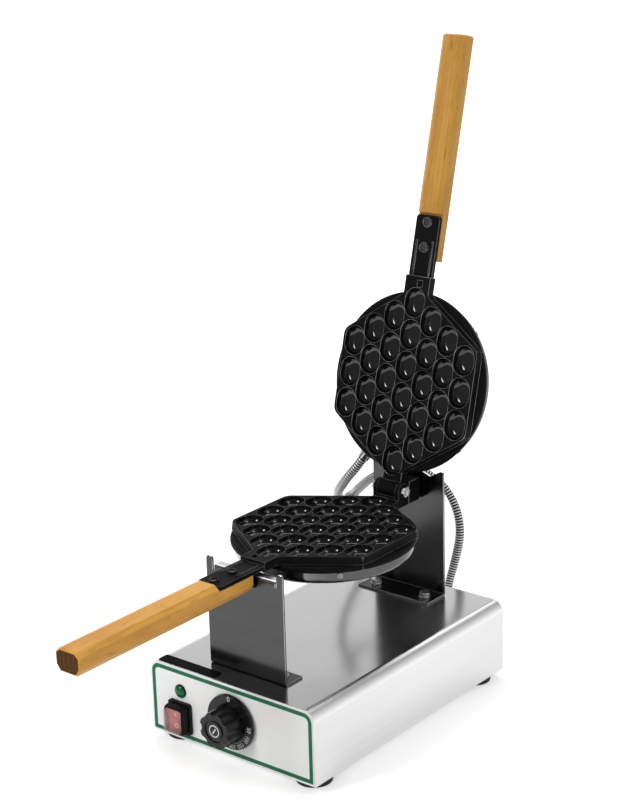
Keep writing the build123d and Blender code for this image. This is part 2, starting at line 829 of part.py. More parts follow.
front_face_y = pan_y - front_bracket_front
ear_width = (front_bracket_width - notch_width) / 2
notch_inner = notch_width - 2 * bracket_sheet
front_plane = Plane.XZ.offset(-(front_face_y + bracket_sheet))
notch_z = parting_z + notch_level
front_middle = folded_strip(
    front_face_y, 1, (base_top, notch_z), front_foot_depth, notch_flange, notch_inner
)
front_sides = folded_strip(
    front_face_y, 1, (base_top, notch_z - 2 * bracket_bend), front_foot_depth, 0, front_bracket_width
)
with BuildPart() as front_bracket:
    add(front_middle)
    add(front_sides)
    with BuildSketch(front_plane):
        for side in (-1, 1):
            with Locations((side * (front_bracket_width - ear_width) / 2, parting_z + front_bracket_top)):
                ear = Rectangle(ear_width, 2 * ear_width - notch_level, align=(Align.CENTER, Align.MAX))
                fillet(ear.vertices().group_by(Axis.Y)[-1], ear_width / 2 - 0.2)
    extrude(amount=bracket_sheet)
    with BuildSketch(Plane.XY.offset(base_top)):
        with Locations(*bolt_points):
            Circle(bracket_bolt_radius + screw_fit)
    extrude(amount=2 * bracket_sheet, mode=Mode.SUBTRACT)
front_bracket.part.label = "front_bracket"
export_step(front_bracket.part, "parts/front_bracket.step")

rear_strip = folded_strip(
    bracket_back, -1, (base_top, base_top + 4 * bracket_bend), rear_foot_depth, 0, rear_bracket_width
)
crown = [
    (rear_bracket_width / 2, rear_bracket_corner),
    (crown_valley_x, crown_valley),
    (crown_step_x, crown_step),
    (crown_middle_x, crown_middle),
]
with BuildPart() as rear_bracket:
    add(rear_strip)
    with BuildSketch(upright(bracket_front)):
        points = [(x, parting_z + z) for x, z in crown]
        plate = Polygon(
            (rear_bracket_width / 2, base_top + 2 * bracket_bend),
            *points,
            *[(-x, z) for x, z in reversed(points)],
            (-rear_bracket_width / 2, base_top + 2 * bracket_bend),
            align=None,
        )
        rounded = [(side * x, z) for side in (-1, 1) for x, z in points[:2]]
        fillet([plate.vertices().sort_by_distance((x, z, 0))[0] for x, z in rounded], bracket_bend)
    extrude(amount=bracket_sheet)
    with BuildSketch(upright(bracket_front)):
        with Locations((0, parting_z)):
            Circle(bush_radius + screw_fit)
    extrude(amount=bracket_sheet, mode=Mode.SUBTRACT)
    with BuildSketch(Plane.XY.offset(base_top)):
        with Locations(*bolt_points):
            Circle(bracket_bolt_radius + screw_fit)
    extrude(amount=2 * bracket_sheet, mode=Mode.SUBTRACT)
rear_bracket.part.label = "rear_bracket"
export_step(rear_bracket.part, "parts/rear_bracket.step")

# Bolts, washers and nuts that hold both brackets to the base
bolt_seat = base_top + bracket_sheet + washer_thickness
with BuildPart() as bracket_washers:
    with BuildSketch(Plane.XY.offset(base_top + bracket_sheet)):
        with Locations(*bolt_points):
            Circle(washer_radius)
            Circle(bracket_bolt_radius + screw_fit, mode=Mode.SUBTRACT)
    extrude(amount=washer_thickness)
bracket_washers.part.label = "bracket_washers"
export_step(bracket_washers.part, "parts/bracket_washers.step")

with BuildPart() as bracket_bolts:
    with BuildSketch(Plane.XY.offset(bolt_seat)):
        with Locations(*bolt_points):
            RegularPolygon(bracket_bolt_hex / 2, 6, major_radius=False)
    extrude(amount=bracket_bolt_head)
    with BuildSketch(Plane.XY.offset(bolt_seat)):
        with Locations(*bolt_points):
            Circle(bracket_bolt_radius)
    extrude(amount=-(bolt_seat - base_top + base_sheet + bracket_nut_height + 2))
bracket_bolts.part.label = "bracket_bolts"
export_step(bracket_bolts.part, "parts/bracket_bolts.step")

with BuildPart() as bracket_nuts:
    with BuildSketch(Plane.XY.offset(base_top - base_sheet)):
        with Locations(*bolt_points):
            RegularPolygon(bracket_bolt_hex / 2, 6, major_radius=False)
            Circle(bracket_bolt_radius + screw_fit, mode=Mode.SUBTRACT)
    extrude(amount=-bracket_nut_height)
bracket_nuts.part.label = "bracket_nuts"
export_step(bracket_nuts.part, "parts/bracket_nuts.step")

# Nuts on the foot screws, and screws through the bottom plate into the lips
with BuildPart() as foot_nuts:
    with BuildSketch(Plane.XY.offset(base_bottom + base_sheet)):
        with Locations(*foot_points):
            RegularPolygon(foot_nut_hex / 2, 6, major_radius=False)
            Circle(foot_screw_radius + screw_fit, mode=Mode.SUBTRACT)
    extrude(amount=foot_head_depth)
foot_nuts.part.label = "foot_nuts"
export_step(foot_nuts.part, "parts/foot_nuts.step")

with BuildPart() as bottom_screws:
    with BuildSketch(Plane.XY.offset(base_bottom)):
        with Locations(*lip_points):
            Circle(foot_head_radius)
    extrude(amount=-foot_head_depth / 2)
    with BuildSketch(Plane.XY.offset(base_bottom)):
        with Locations(*lip_points):
            Circle(foot_screw_radius)
    extrude(amount=4 * base_sheet)
bottom_screws.part.label = "bottom_screws"
export_step(bottom_screws.part, "parts/bottom_screws.step")


# Heater covers: pressed steel dishes over the register rings
cover_inner = cover_radius - cover_sheet
gland_level_in_dish = disc_bottom + conduit_level


def heater_cover(face, conduit_side):
    """A shallow dish with a rounded bottom edge, open towards the casting."""
    with BuildPart() as cover:
        with BuildSketch(axial_plane(face, 0)):
            profile = Polygon(
                (0, cover_bottom),
                (cover_radius, cover_bottom),
                (cover_radius, disc_bottom),
                (cover_inner, disc_bottom),
                (cover_inner, cover_bottom - cover_sheet),
                (0, cover_bottom - cover_sheet),
                align=None,
            )
            outer = profile.vertices().sort_by_distance((cover_radius, cover_bottom, 0))[0]
            profile = fillet(outer, cover_corner)
            inner = profile.vertices().sort_by_distance((cover_inner, cover_bottom - cover_sheet, 0))[0]
            fillet(inner, cover_corner - cover_sheet)
        revolve(axis=Axis(face.origin, face.z_dir))
        for angle in cover_screw_angles:
            with BuildSketch(radial_plane(face, angle, cover_radius + cover_sheet, cover_screw_level)):
                Circle(cover_screw_radius + screw_fit)
            extrude(amount=-3 * cover_sheet, mode=Mode.SUBTRACT)
        exit_angle = conduit_direction(conduit_side)
        with BuildSketch(radial_plane(face, exit_angle, cover_radius + cover_sheet, gland_level_in_dish)):
            Circle(dish_spigot_radius + screw_fit)
        extrude(amount=-(cover_corner + cover_sheet), mode=Mode.SUBTRACT)
    return cover.part


def cover_screws(face):
    """Small screws through the wall of the dish into the register ring."""
    with BuildPart() as screws:
        for angle in cover_screw_angles:
            seat = radial_plane(face, angle, cover_radius, cover_screw_level)
            with BuildSketch(seat):
                Circle(cover_screw_head)
            extrude(amount=cover_screw_head / 2)
            with BuildSketch(seat):
                Circle(cover_screw_radius)
            extrude(amount=-(cover_radius - register_radius + register_wall))
    return screws.part


def heating_element(face, conduit_side):
    """Tube bent to an open ring, with its two cold pins pointing outward."""
    start = conduit_direction(conduit_side) + heater_opening / 2
    with BuildPart() as element:
        with BuildSketch(axial_plane(face, start)):
            with Locations((heater_radius, disc_bottom + heater_tube)):
                Circle(heater_tube)
        revolve(axis=Axis(face.origin, face.z_dir), revolution_arc=360 - heater_opening)
        for angle in (start, start - heater_opening):
            with BuildSketch(radial_plane(face, angle, heater_radius, disc_bottom + heater_tube)):
                Circle(heater_pin)
            extrude(amount=heater_pin_length)
    return element.part


def insulation_disc(face):
    """Fibre disc on the floor of the dish, up to the heating element."""
    with BuildPart() as disc:
        with BuildSketch(face.offset(disc_bottom + 2 * heater_tube + seat_gap)):
            Circle(insulation_radius)
        extrude(amount=cover_depth - cover_sheet - 2 * heater_tube - seat_gap)
    return disc.part


def handle(face):
    """Eight-sided wooden bar, let in under the tang and chamfered at its end."""
    sides = [
        (handle_top_flat / 2, handle_face),
        (handle_width / 2, handle_side_top),
        (handle_width / 2, handle_side_bottom),
        (handle_bottom_flat / 2, handle_bottom),
    ]
    end = Plane(
        origin=face.from_local_coords(Vector(0, handle_end, 0)),
        x_dir=face.x_dir,
        z_dir=face.y_dir,
    )
    with BuildPart() as bar:
        with BuildSketch(end):
            Polygon(
                *[(x, -w) for x, w in sides],
                *[(-x, -w) for x, w in reversed(sides)],
                align=None,
            )
        extrude(amount=-(handle_end - handle_start))
        tips = [edge for edge in bar.edges() if abs(face.to_local_coords(edge.center()).Y - handle_end) < 0.01]
        chamfer(tips, handle_end_chamfer)
        with BuildSketch(face):
            with Locations((0, tang_end + tang_slack)):
                Rectangle(2 * handle_width, handle_end, align=(Align.CENTER, Align.MAX))
        extrude(amount=tang_bottom, mode=Mode.SUBTRACT)
        with BuildSketch(face.offset(tang_bottom)):
            with Locations(*[(0, place) for place in boss_places]):
                Circle(handle_screw_radius + screw_fit)
        extrude(amount=handle_screw_length, mode=Mode.SUBTRACT)
    return bar.part


def handle_screws(face):
    """Countersunk screws through the bosses of the tang into the wood."""
    with BuildPart() as screws:
        with BuildSketch(face.offset(screw_level)):
            with Locations(*[(0, place) for place in boss_places]):
                Circle(handle_screw_head)
        extrude(amount=handle_screw_head - handle_screw_radius, taper=45)
        with BuildSketch(face.offset(screw_level)):
            with Locations(*[(0, place) for place in boss_places]):
                Circle(handle_screw_radius)
        extrude(amount=handle_screw_length)
    return screws.part


# Conduit glands: hexagon or collar, ferrule with a seat for the hose, spigot through the wall
def conduit_gland(wall, spigot, spigot_length, hexagon, ferrule, seat):
    """A gland standing on the wall plane, whose local z points out along the conduit."""
    mouth = gland_hex_height + gland_ferrule
    with BuildPart() as gland:
        with BuildSketch(wall):
            if hexagon > 0:
                RegularPolygon(hexagon / 2, 6, major_radius=False)
            else:
                Circle(dish_collar_radius)
        extrude(amount=gland_hex_height)
        with BuildSketch(wall.offset(gland_hex_height)):
            Circle(ferrule)
        extrude(amount=gland_ferrule)
        with BuildSketch(wall):
            Circle(spigot)
        extrude(amount=-spigot_length)
        with BuildSketch(wall.offset(-spigot_length)):
            Circle(wire_radius)
        extrude(amount=spigot_length + mouth, mode=Mode.SUBTRACT)
        if seat > 0:
            with BuildSketch(wall.offset(mouth)):
                Circle(hose_radius + screw_fit)
            extrude(amount=-seat, mode=Mode.SUBTRACT)
    return gland.part


def rear_gland_plane(x):
    """The wall plane of a gland on the rear panel."""
    return Plane(origin=(x, base_rear, gland_level), x_dir=(-1, 0, 0), z_dir=(0, 1, 0))


for name, face, side in (("lower", lower_face, -1), ("upper", upper_face, 1)):
    wall = radial_plane(face, conduit_direction(side), cover_radius + seat_gap, gland_level_in_dish)
    pieces = {
        "heater_cover": heater_cover(face, side),
        "cover_screws": cover_screws(face),
        "heating_element": heating_element(face, side),
        "insulation": insulation_disc(face),
        "handle": handle(face),
        "handle_screws": handle_screws(face),
        "dish_gland": conduit_gland(
            wall, dish_spigot_radius, dish_spigot_length, 0, dish_ferrule_radius, gland_seat
        ),
    }
    for kind, solid in pieces.items():
        solid.label = name + "_" + kind
        export_step(solid, "parts/" + name + "_" + kind + ".step")

rear_spigot_length = base_sheet + gland_nut_height + 2
with BuildPart() as rear_glands:
    for x in rear_gland_x:
        add(conduit_gland(
            rear_gland_plane(x), rear_spigot_radius, rear_spigot_length, rear_gland_hex,
            rear_ferrule_radius, gland_seat,
        ))
rear_glands.part.label = "rear_glands"
export_step(rear_glands.part, "parts/rear_glands.step")

with BuildPart() as mains_gland:
    add(conduit_gland(
        rear_gland_plane(mains_gland_x), rear_spigot_radius, rear_spigot_length, rear_gland_hex,
        rear_ferrule_radius, 0,
    ))
    chamfer(mains_gland.faces().sort_by(Axis.Y)[-1].outer_wire().edges(), 1.5)
mains_gland.part.label = "mains_gland"
export_step(mains_gland.part, "parts/mains_gland.step")

with BuildPart() as rear_gland_nuts:
    for x in rear_gland_x + [mains_gland_x]:
        with BuildSketch(rear_gland_plane(x).offset(-base_sheet)):
            RegularPolygon(rear_gland_hex / 2, 6, major_radius=False)
            Circle(rear_spigot_radius + screw_fit / 2, mode=Mode.SUBTRACT)
    extrude(amount=-gland_nut_height)
rear_gland_nuts.part.label = "rear_gland_nuts"
export_step(rear_gland_nuts.part, "parts/rear_gland_nuts.step")


# Thermostat: body behind the panel, bushing and nut, shaft and lobed knob
def control_point(x, z, forward):
    """A plane facing the front, forward of the front panel's skin, centred on a control."""
    return Plane(
        origin=(x, base_front - forward, parting_z + z), x_dir=(1, 0, 0), z_dir=(0, -1, 0)
    )


dial_back = overlay_thickness + dial_standoff
shaft_inner = 14.0
with BuildPart() as thermostat_body:
    with BuildSketch(control_point(knob_x, knob_z, -base_sheet)):
        Circle(thermostat_radius)
    extrude(amount=-thermostat_depth)
    rear_rim = thermostat_body.faces().sort_by(Axis.Y)[-1].edges()
    fillet(rear_rim, 3)
    with BuildSketch(control_point(knob_x, knob_z, -base_sheet)):
        Circle(bushing_radius)
    extrude(amount=base_sheet + dial_back - 0.2)
    with BuildSketch(control_point(knob_x, knob_z, dial_back)):
        Circle(shaft_radius + running_fit)
    extrude(amount=-(dial_back + shaft_inner + seat_gap), mode=Mode.SUBTRACT)
    with BuildSketch(control_point(knob_x, knob_z, -base_sheet - thermostat_depth)):
        with GridLocations(*blade_spacing, 2, 2):
            Rectangle(blade_width, blade_thickness)
    extrude(amount=-8)
thermostat_body.part.label = "thermostat_body"
export_step(thermostat_body.part, "parts/thermostat_body.step")

with BuildPart() as thermostat_nut:
    with BuildSketch(control_point(knob_x, knob_z, overlay_thickness)):
        RegularPolygon(panel_nut_hex / 2, 6, major_radius=False)
        Circle(bushing_radius + screw_fit / 2, mode=Mode.SUBTRACT)
    extrude(amount=dial_standoff - 0.4)
thermostat_nut.part.label = "thermostat_nut"
export_step(thermostat_nut.part, "parts/thermostat_nut.step")

knob_front = dial_back + dial_thickness + grip_length
with BuildPart() as thermostat_shaft:
    with BuildSketch(control_point(knob_x, knob_z, -shaft_inner)):
        Circle(shaft_radius)
    extrude(amount=shaft_inner + knob_front - 6)
thermostat_shaft.part.label = "thermostat_shaft"
export_step(thermostat_shaft.part, "parts/thermostat_shaft.step")

with BuildPart() as thermostat_knob:
    with BuildSketch(control_point(knob_x, knob_z, dial_back)):
        Circle(dial_radius)
    extrude(amount=dial_thickness, taper=12)
    with BuildSketch(control_point(knob_x, knob_z, dial_back + dial_thickness)):
        Circle(grip_radius)
        with PolarLocations(grip_radius + 3.2, grip_lobes):
            Circle(5.6, mode=Mode.SUBTRACT)
    extrude(amount=grip_length, taper=3)
    with BuildSketch(control_point(knob_x, knob_z, knob_front)):
        Circle(grip_groove)
        Circle(grip_groove - 2.4, mode=Mode.SUBTRACT)
    extrude(amount=-1.2, mode=Mode.SUBTRACT)
    with BuildSketch(control_point(knob_x, knob_z, dial_back)):
        Circle(shaft_radius + screw_fit / 3)
    extrude(amount=dial_thickness + grip_length - 6 + screw_fit, mode=Mode.SUBTRACT)
thermostat_knob.part.label = "thermostat_knob"
export_step(thermostat_knob.part, "parts/thermostat_knob.step")

# Pilot lamp: holder through the panel with a domed lens on its flange
lamp_flange = 1.2
lens_radius = lamp_radius - 0.7
lens_height = 3.4
lamp_plane = Plane(origin=(lamp_x, base_front, parting_z + lamp_z), x_dir=(1, 0, 0), z_dir=(0, 0, 1))
with BuildPart() as lamp_holder:
    with BuildSketch(control_point(lamp_x, lamp_z, overlay_thickness)):
        Circle(lamp_radius)
    extrude(amount=lamp_flange)
    with BuildSketch(control_point(lamp_x, lamp_z, overlay_thickness)):
        Circle(lamp_stem)
    extrude(amount=-lamp_depth)
    with BuildSketch(control_point(lamp_x, lamp_z, overlay_thickness - lamp_depth)):
        with GridLocations(5, 1, 2, 1):
            Rectangle(0.8, 4.8)
    extrude(amount=-7)
lamp_holder.part.label = "lamp_holder"
export_step(lamp_holder.part, "parts/lamp_holder.step")

lens_seat = -(overlay_thickness + lamp_flange)
dome_height = lens_height - 1
dome_radius = (lens_radius**2 + dome_height**2) / (2 * dome_height)
dome_angle = asin(lens_radius / dome_radius)
dome_centre = lens_seat - lens_height + dome_radius
with BuildPart() as lamp_lens:
    with BuildSketch(lamp_plane):
        with BuildLine():
            Line((0, lens_seat), (lens_radius, lens_seat))
            Line((lens_radius, lens_seat), (lens_radius, lens_seat - 1))
            ThreePointArc(
                (lens_radius, lens_seat - 1),
                (dome_radius * sin(dome_angle / 2), dome_centre - dome_radius * cos(dome_angle / 2)),
                (0, lens_seat - lens_height),
            )
            Line((0, lens_seat - lens_height), (0, lens_seat))
        make_face()
    revolve(axis=Axis(lamp_plane.origin, (0, 1, 0)))
lamp_lens.part.label = "lamp_lens"
export_step(lamp_lens.part, "parts/lamp_lens.step")

# Rocker switch: splash-proof surround with the rocker on two short pins
rocker_half = rocker_height / 2
rocker_reach = hypot(rocker_half, rocker_end)
rocker_angle = asin(rocker_end / rocker_reach) - radians(rocker_tilt)
cavity_half = rocker_reach * cos(rocker_angle) + seat_gap
cavity_width = rocker_width + 2 * seat_gap
cavity_depth = 6.0
pivot_forward = switch_front - rocker_end
surround_width = cavity_width + 2 * switch_wall
surround_height = 2 * cavity_half + 2 * switch_wall
with BuildPart() as switch_frame:
    with BuildSketch(control_point(switch_x, switch_z, overlay_thickness)):
        RectangleRounded(switch_width, switch_height, 3)
    extrude(amount=switch_flange)
    with BuildSketch(control_point(switch_x, switch_z, overlay_thickness + switch_flange)):
        RectangleRounded(surround_width, surround_height, 2.2)
    extrude(amount=switch_front - switch_flange, taper=3)
    with BuildSketch(control_point(switch_x, switch_z, overlay_thickness)):
        Rectangle(switch_cut_width, switch_cut_height)
    extrude(amount=-switch_depth)
    with BuildSketch(control_point(switch_x, switch_z, overlay_thickness + switch_front)):
        Rectangle(cavity_width, 2 * cavity_half)
    extrude(amount=-switch_front, mode=Mode.SUBTRACT)
    with BuildSketch(control_point(switch_x, switch_z, overlay_thickness)):
        Rectangle(cavity_width, rocker_half)
    extrude(amount=-cavity_depth, mode=Mode.SUBTRACT)
    pivot_place = (base_front - overlay_thickness - pivot_forward, parting_z + switch_z)
    with BuildSketch(Plane.YZ.offset(switch_x - cavity_width / 2 - 1.1)):
        with Locations(pivot_place):
            Circle(rocker_pin + running_fit)
    extrude(amount=cavity_width + 2.2, mode=Mode.SUBTRACT)
    with BuildSketch(control_point(switch_x, switch_z, overlay_thickness - switch_depth)):
        with GridLocations(0, switch_blade_spacing, 1, 2):
            Rectangle(blade_width, blade_thickness)
    extrude(amount=-9)
switch_frame.part.label = "switch_frame"
export_step(switch_frame.part, "parts/switch_frame.step")

rocker_plane = Plane(
    origin=(switch_x - rocker_width / 2, pivot_place[0], pivot_place[1]),
    x_dir=(0, -cos(radians(rocker_tilt)), -sin(radians(rocker_tilt))),
    z_dir=(1, 0, 0),
)
with BuildPart() as switch_rocker:
    with BuildSketch(rocker_plane):
        Polygon(
            (rocker_end, rocker_half),
            (rocker_middle, 0),
            (rocker_end, -rocker_half),
            (1.5, -rocker_half),
            (-3, -3.5),
            (-3, 3.5),
            (1.5, rocker_half),
            align=None,
        )
    extrude(amount=rocker_width)
    with BuildSketch(rocker_plane.offset(-seat_gap - 0.9)):
        Circle(rocker_pin)
    extrude(amount=rocker_width + 2 * seat_gap + 1.8)
switch_rocker.part.label = "switch_rocker"
export_step(switch_rocker.part, "parts/switch_rocker.step")

# Terminal block on the bottom plate
block_place = (base_width / 2 - terminal_inset_x, base_rear - terminal_inset_y)
with BuildPart() as terminal_block:
    with BuildSketch(Plane.XY.offset(base_bottom + base_sheet)):
        with Locations(block_place):
            Rectangle(terminal_width, terminal_depth)
    extrude(amount=terminal_height)
    with BuildSketch(Plane.XY.offset(base_bottom + base_sheet + terminal_height)):
        with Locations(block_place):
            with GridLocations(terminal_width / 4, terminal_depth / 2, 3, 2):
                Circle(terminal_depth / 8)
    extrude(amount=-terminal_height / 2, mode=Mode.SUBTRACT)
terminal_block.part.label = "terminal_block"
export_step(terminal_block.part, "parts/terminal_block.step")

# Conduits: corrugated metal hoses, each from a dish gland to a rear gland
gland_mouth = gland_hex_height + gland_ferrule
upper_middle = [
    (-70, 130, -2), (-81, 133, -15), (-92, 140, -26), (-101, 151, -37), (-107, 164, -47),
    (-111, 178, -56), (-112, 192, -67), (-112, 205, -79), (-110, 215, -93), (-104, 222, -107),
    (-96, 225, -122), (-86, 224, -137), (-76, 219, -148), (-68, 208, -156),
]
lower_middle = [
    (-66, 120, -23), (-70, 138, -25), (-74, 157, -22), (-73, 176, -17), (-67, 193, -13),
    (-55, 207, -11), (-40, 216, -13), (-23, 222, -20), (-8, 224, -32), (3, 224, -47),
    (9, 224, -64), (10, 224, -83), (6, 224, -102), (2, 222, -121), (0, 216, -138),
    (4, 207, -153),
]


def conduit_route(face, side, middle, rear_x, first_run, last_run):
    """Corner points from the seat in the dish gland to the seat in the rear gland."""
    angle = conduit_direction(side)
    outward = radial_direction(face, angle)
    seat = cover_radius + seat_gap + gland_mouth - gland_seat
    start = radial_plane(face, angle, seat, gland_level_in_dish).origin
    end = Vector(rear_x, base_rear + gland_mouth - gland_seat, gland_level)
    between = [Vector(x, pan_y + y, parting_z + z) for x, y, z in middle]
    return [start, start + outward * first_run] + between + [end + Vector(0, last_run, 0), end]


def corner_radii(points):
    """The widest arcs that the runs beside each corner leave room for, with some straight left."""
    radii = []
    for before, corner, after in zip(points, points[1:], points[2:]):
        run = min((corner - before).length, (after - corner).length)
        half_turn = radians((corner - before).get_angle(after - corner)) / 2
        radii.append(0.45 * run / tan(half_turn))
    return radii


def hose(points):
    """Hose with its bore, along straight runs joined by tangent arcs."""
    radii = corner_radii(points)
    with BuildLine() as line:
        FilletPolyline(*points, radius=radii)
    route = line.wires()[0]
    with BuildPart() as tube:
        with BuildSketch(Plane(origin=route @ 0, z_dir=route % 0)):
            Circle(hose_radius)
            Circle(hose_bore, mode=Mode.SUBTRACT)
        sweep(path=route)
    section = pi * (hose_radius**2 - hose_bore**2)
    print("hose radii", [round(radius, 1) for radius in radii])
    print("hose length", round(route.length, 1), "volume", round(tube.part.volume, 1))
    print("section times length", round(section * route.length, 1))
    return tube.part


upper_points = conduit_route(upper_face, 1, upper_middle, rear_gland_x[1], hose_run, hose_run)
lower_points = conduit_route(lower_face, -1, lower_middle, rear_gland_x[0], hose_run, hose_run)
for name, points in (("upper_hose", upper_points), ("lower_hose", lower_points)):
    conduit = hose(points)
    conduit.label = name
    export_step(conduit, "parts/" + name + ".step")
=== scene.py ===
import json
from math import cos, pi, radians, sin

import bmesh
import bpy
from bpy.props import FloatProperty, FloatVectorProperty, IntProperty, PointerProperty
from bpy.types import Operator, Panel, PropertyGroup
from mathutils import Matrix, Vector


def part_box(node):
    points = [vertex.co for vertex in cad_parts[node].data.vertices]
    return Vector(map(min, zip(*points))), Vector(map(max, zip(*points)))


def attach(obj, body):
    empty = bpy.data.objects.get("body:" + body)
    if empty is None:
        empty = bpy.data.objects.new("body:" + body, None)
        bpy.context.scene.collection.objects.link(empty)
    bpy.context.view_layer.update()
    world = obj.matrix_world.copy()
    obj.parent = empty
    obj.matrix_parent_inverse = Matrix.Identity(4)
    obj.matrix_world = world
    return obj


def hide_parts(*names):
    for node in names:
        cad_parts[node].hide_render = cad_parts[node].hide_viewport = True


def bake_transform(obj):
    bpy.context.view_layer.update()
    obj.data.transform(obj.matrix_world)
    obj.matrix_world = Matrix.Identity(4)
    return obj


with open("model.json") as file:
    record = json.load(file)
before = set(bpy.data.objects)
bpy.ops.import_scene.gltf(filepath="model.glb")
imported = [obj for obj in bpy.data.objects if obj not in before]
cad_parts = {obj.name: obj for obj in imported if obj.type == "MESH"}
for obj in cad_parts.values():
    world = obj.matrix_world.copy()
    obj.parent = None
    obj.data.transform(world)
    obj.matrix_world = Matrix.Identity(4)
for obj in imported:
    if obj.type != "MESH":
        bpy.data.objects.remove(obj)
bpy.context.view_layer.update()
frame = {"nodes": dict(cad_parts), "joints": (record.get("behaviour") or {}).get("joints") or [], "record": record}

bl_info = {
    "name": "Egg Waffle Maker",
    "version": (1, 0, 0),
    "blender": (4, 5, 0),
    "location": "View3D > Sidebar > Waffle Maker",
    "description": "Dresses the egg waffle maker and sets up its studio",
    "category": "Object",
}

JOINTS = {joint["name"]: joint for joint in frame["joints"]}
SLOTS = {part["node"]: part["material_slot"] for part in frame["record"]["subparts"]}
# One millimetre in metres
MM = 0.001

# The pans, in millimetres: the height where they meet, and the lower one's middle from front to back
PARTING_LEVEL = 201.2
PAN_MIDDLE = 53.5383

# The hinge, in millimetres: behind the lower pan's middle, above its face, and out of the upper pan's face
HINGE_BACK = 112.4
HINGE_RISE = 4.5
BARREL_LEVEL = 4.3

# Turn of the open lid from closed
OPEN_ANGLE = radians(104.74)


def on_lower_pan(across, along, out):
    """A point in metres, from millimetres across the lower pan, towards its handle and out of its back."""
    return Vector((across, PAN_MIDDLE - along, PARTING_LEVEL - out)) * MM


def on_upper_pan(across, along, out):
    """A point in metres, from millimetres across the upper pan, towards its handle and out of its back."""
    sine, cosine = sin(OPEN_ANGLE), cos(OPEN_ANGLE)
    middle_y = PAN_MIDDLE + HINGE_BACK * (1 - cosine) - BARREL_LEVEL * sine
    middle_z = PARTING_LEVEL + HINGE_RISE + HINGE_BACK * sine - BARREL_LEVEL * cosine
    y = middle_y - along * cosine + out * sine
    z = middle_z + along * sine + out * cosine
    return Vector((-across, y, z)) * MM


# Settings that a user may change


def length(name, description, default):
    """A setting in metres."""
    return FloatProperty(
        name=name, description=description, default=default, min=0.0, unit="LENGTH", subtype="DISTANCE"
    )


def bearing(name, description, degrees):
    """A setting that is an angle."""
    return FloatProperty(name=name, description=description, default=radians(degrees), subtype="ANGLE")


def colour(name, description, default):
    """A setting that is a colour."""
    return FloatVectorProperty(
        name=name, description=description, default=default, min=0.0, max=1.0, size=3, subtype="COLOR"
    )


class WaffleMakerSizes(PropertyGroup):
    """Sizes of what is added to the model, and the place of the camera."""

    camera_azimuth: bearing("Camera azimuth", "Turn of the view about the vertical", 39.34)
    camera_elevation: bearing("Camera elevation", "Height angle of the view", 17.66)
    camera_roll: bearing("Camera roll", "Tilt of the picture", -1.63)
    camera_place: FloatVectorProperty(
        name="Camera place", description="Where the camera stands", default=(1.14736, -1.36399, 0.91302),
        size=3, subtype="TRANSLATION",
    )
    camera_lens: FloatProperty(
        name="Lens", description="Focal length in millimetres", default=88.02, min=1.0,
        subtype="DISTANCE_CAMERA",
    )
    hose_radius: length("Conduit radius", "Outer radius of the conduit's ribs", 0.0052)
    hose_groove: length("Conduit groove", "Depth of the grooves between the ribs", 0.0012)
    hose_pitch: length("Rib pitch", "Distance from one rib to the next", 0.0030)
    hose_sides: IntProperty(name="Conduit sides", description="Faces around the conduit", default=28, min=8)
    plate_length: length("Nameplate length", "Length of the bare plate on the base", 0.073)
    plate_width: length("Nameplate width", "Width of the bare plate on the base", 0.013)
    plate_thickness: length("Nameplate thickness", "Thickness of the bare plate", 0.0008)
    number_height: length("Dial number height", "Height of the numbers on the dial", 0.0062)
    border_inset: length("Border inset", "White rim outside the green border", 0.0007)
    border_width: length("Border width", "Width of the green border", 0.0046)


class WaffleMakerColours(PropertyGroup):
    """Colours of the finishes."""

    base: colour("Base steel", "Brushed steel of the base", (0.84, 0.84, 0.845))
    # The brackets' tone is painted shade: brushed stainless steel toned dark, as a painted reflection of dark
    # surroundings
    bracket: colour("Bracket steel", "Darker brushed steel of the brackets", (0.082, 0.082, 0.084))
    # The dishes' tone is painted shade: polished steel toned dark, as a painted reflection of dark surroundings
    cover: colour("Cover steel", "Polished steel of the dishes", (0.2, 0.2, 0.203))
    casting: colour("Casting", "Black coating of the pans", (0.0048, 0.0048, 0.005))
    # Rubbed edges of the pans, bright bare metal that is also a painted highlight on their rims
    casting_rubbed_highlight: colour("Casting edge", "Rubbed edges of the pans", (0.42, 0.42, 0.425))
    wood_light: colour("Light wood", "Early wood of the handles", (0.71, 0.375, 0.076))
    wood_dark: colour("Dark wood", "Late wood of the handles", (0.4, 0.165, 0.024))
    panel: colour("Panel film", "Light grey printed film", (0.9, 0.9, 0.9))
    border: colour("Border green", "Green border of the panel", (0.004, 0.15, 0.068))
    rocker: colour("Rocker red", "Red of the rocker", (0.62, 0.08, 0.075))
    lamp: colour("Lamp green", "Green of the pilot lamp", (0.0, 0.16, 0.045))
    conduit: colour("Conduit", "Bright metal of the conduits", (0.93, 0.93, 0.93))
    background: colour("Background", "Pale floor and background", (1.0, 1.0, 1.0))


# Shader maths and nodes


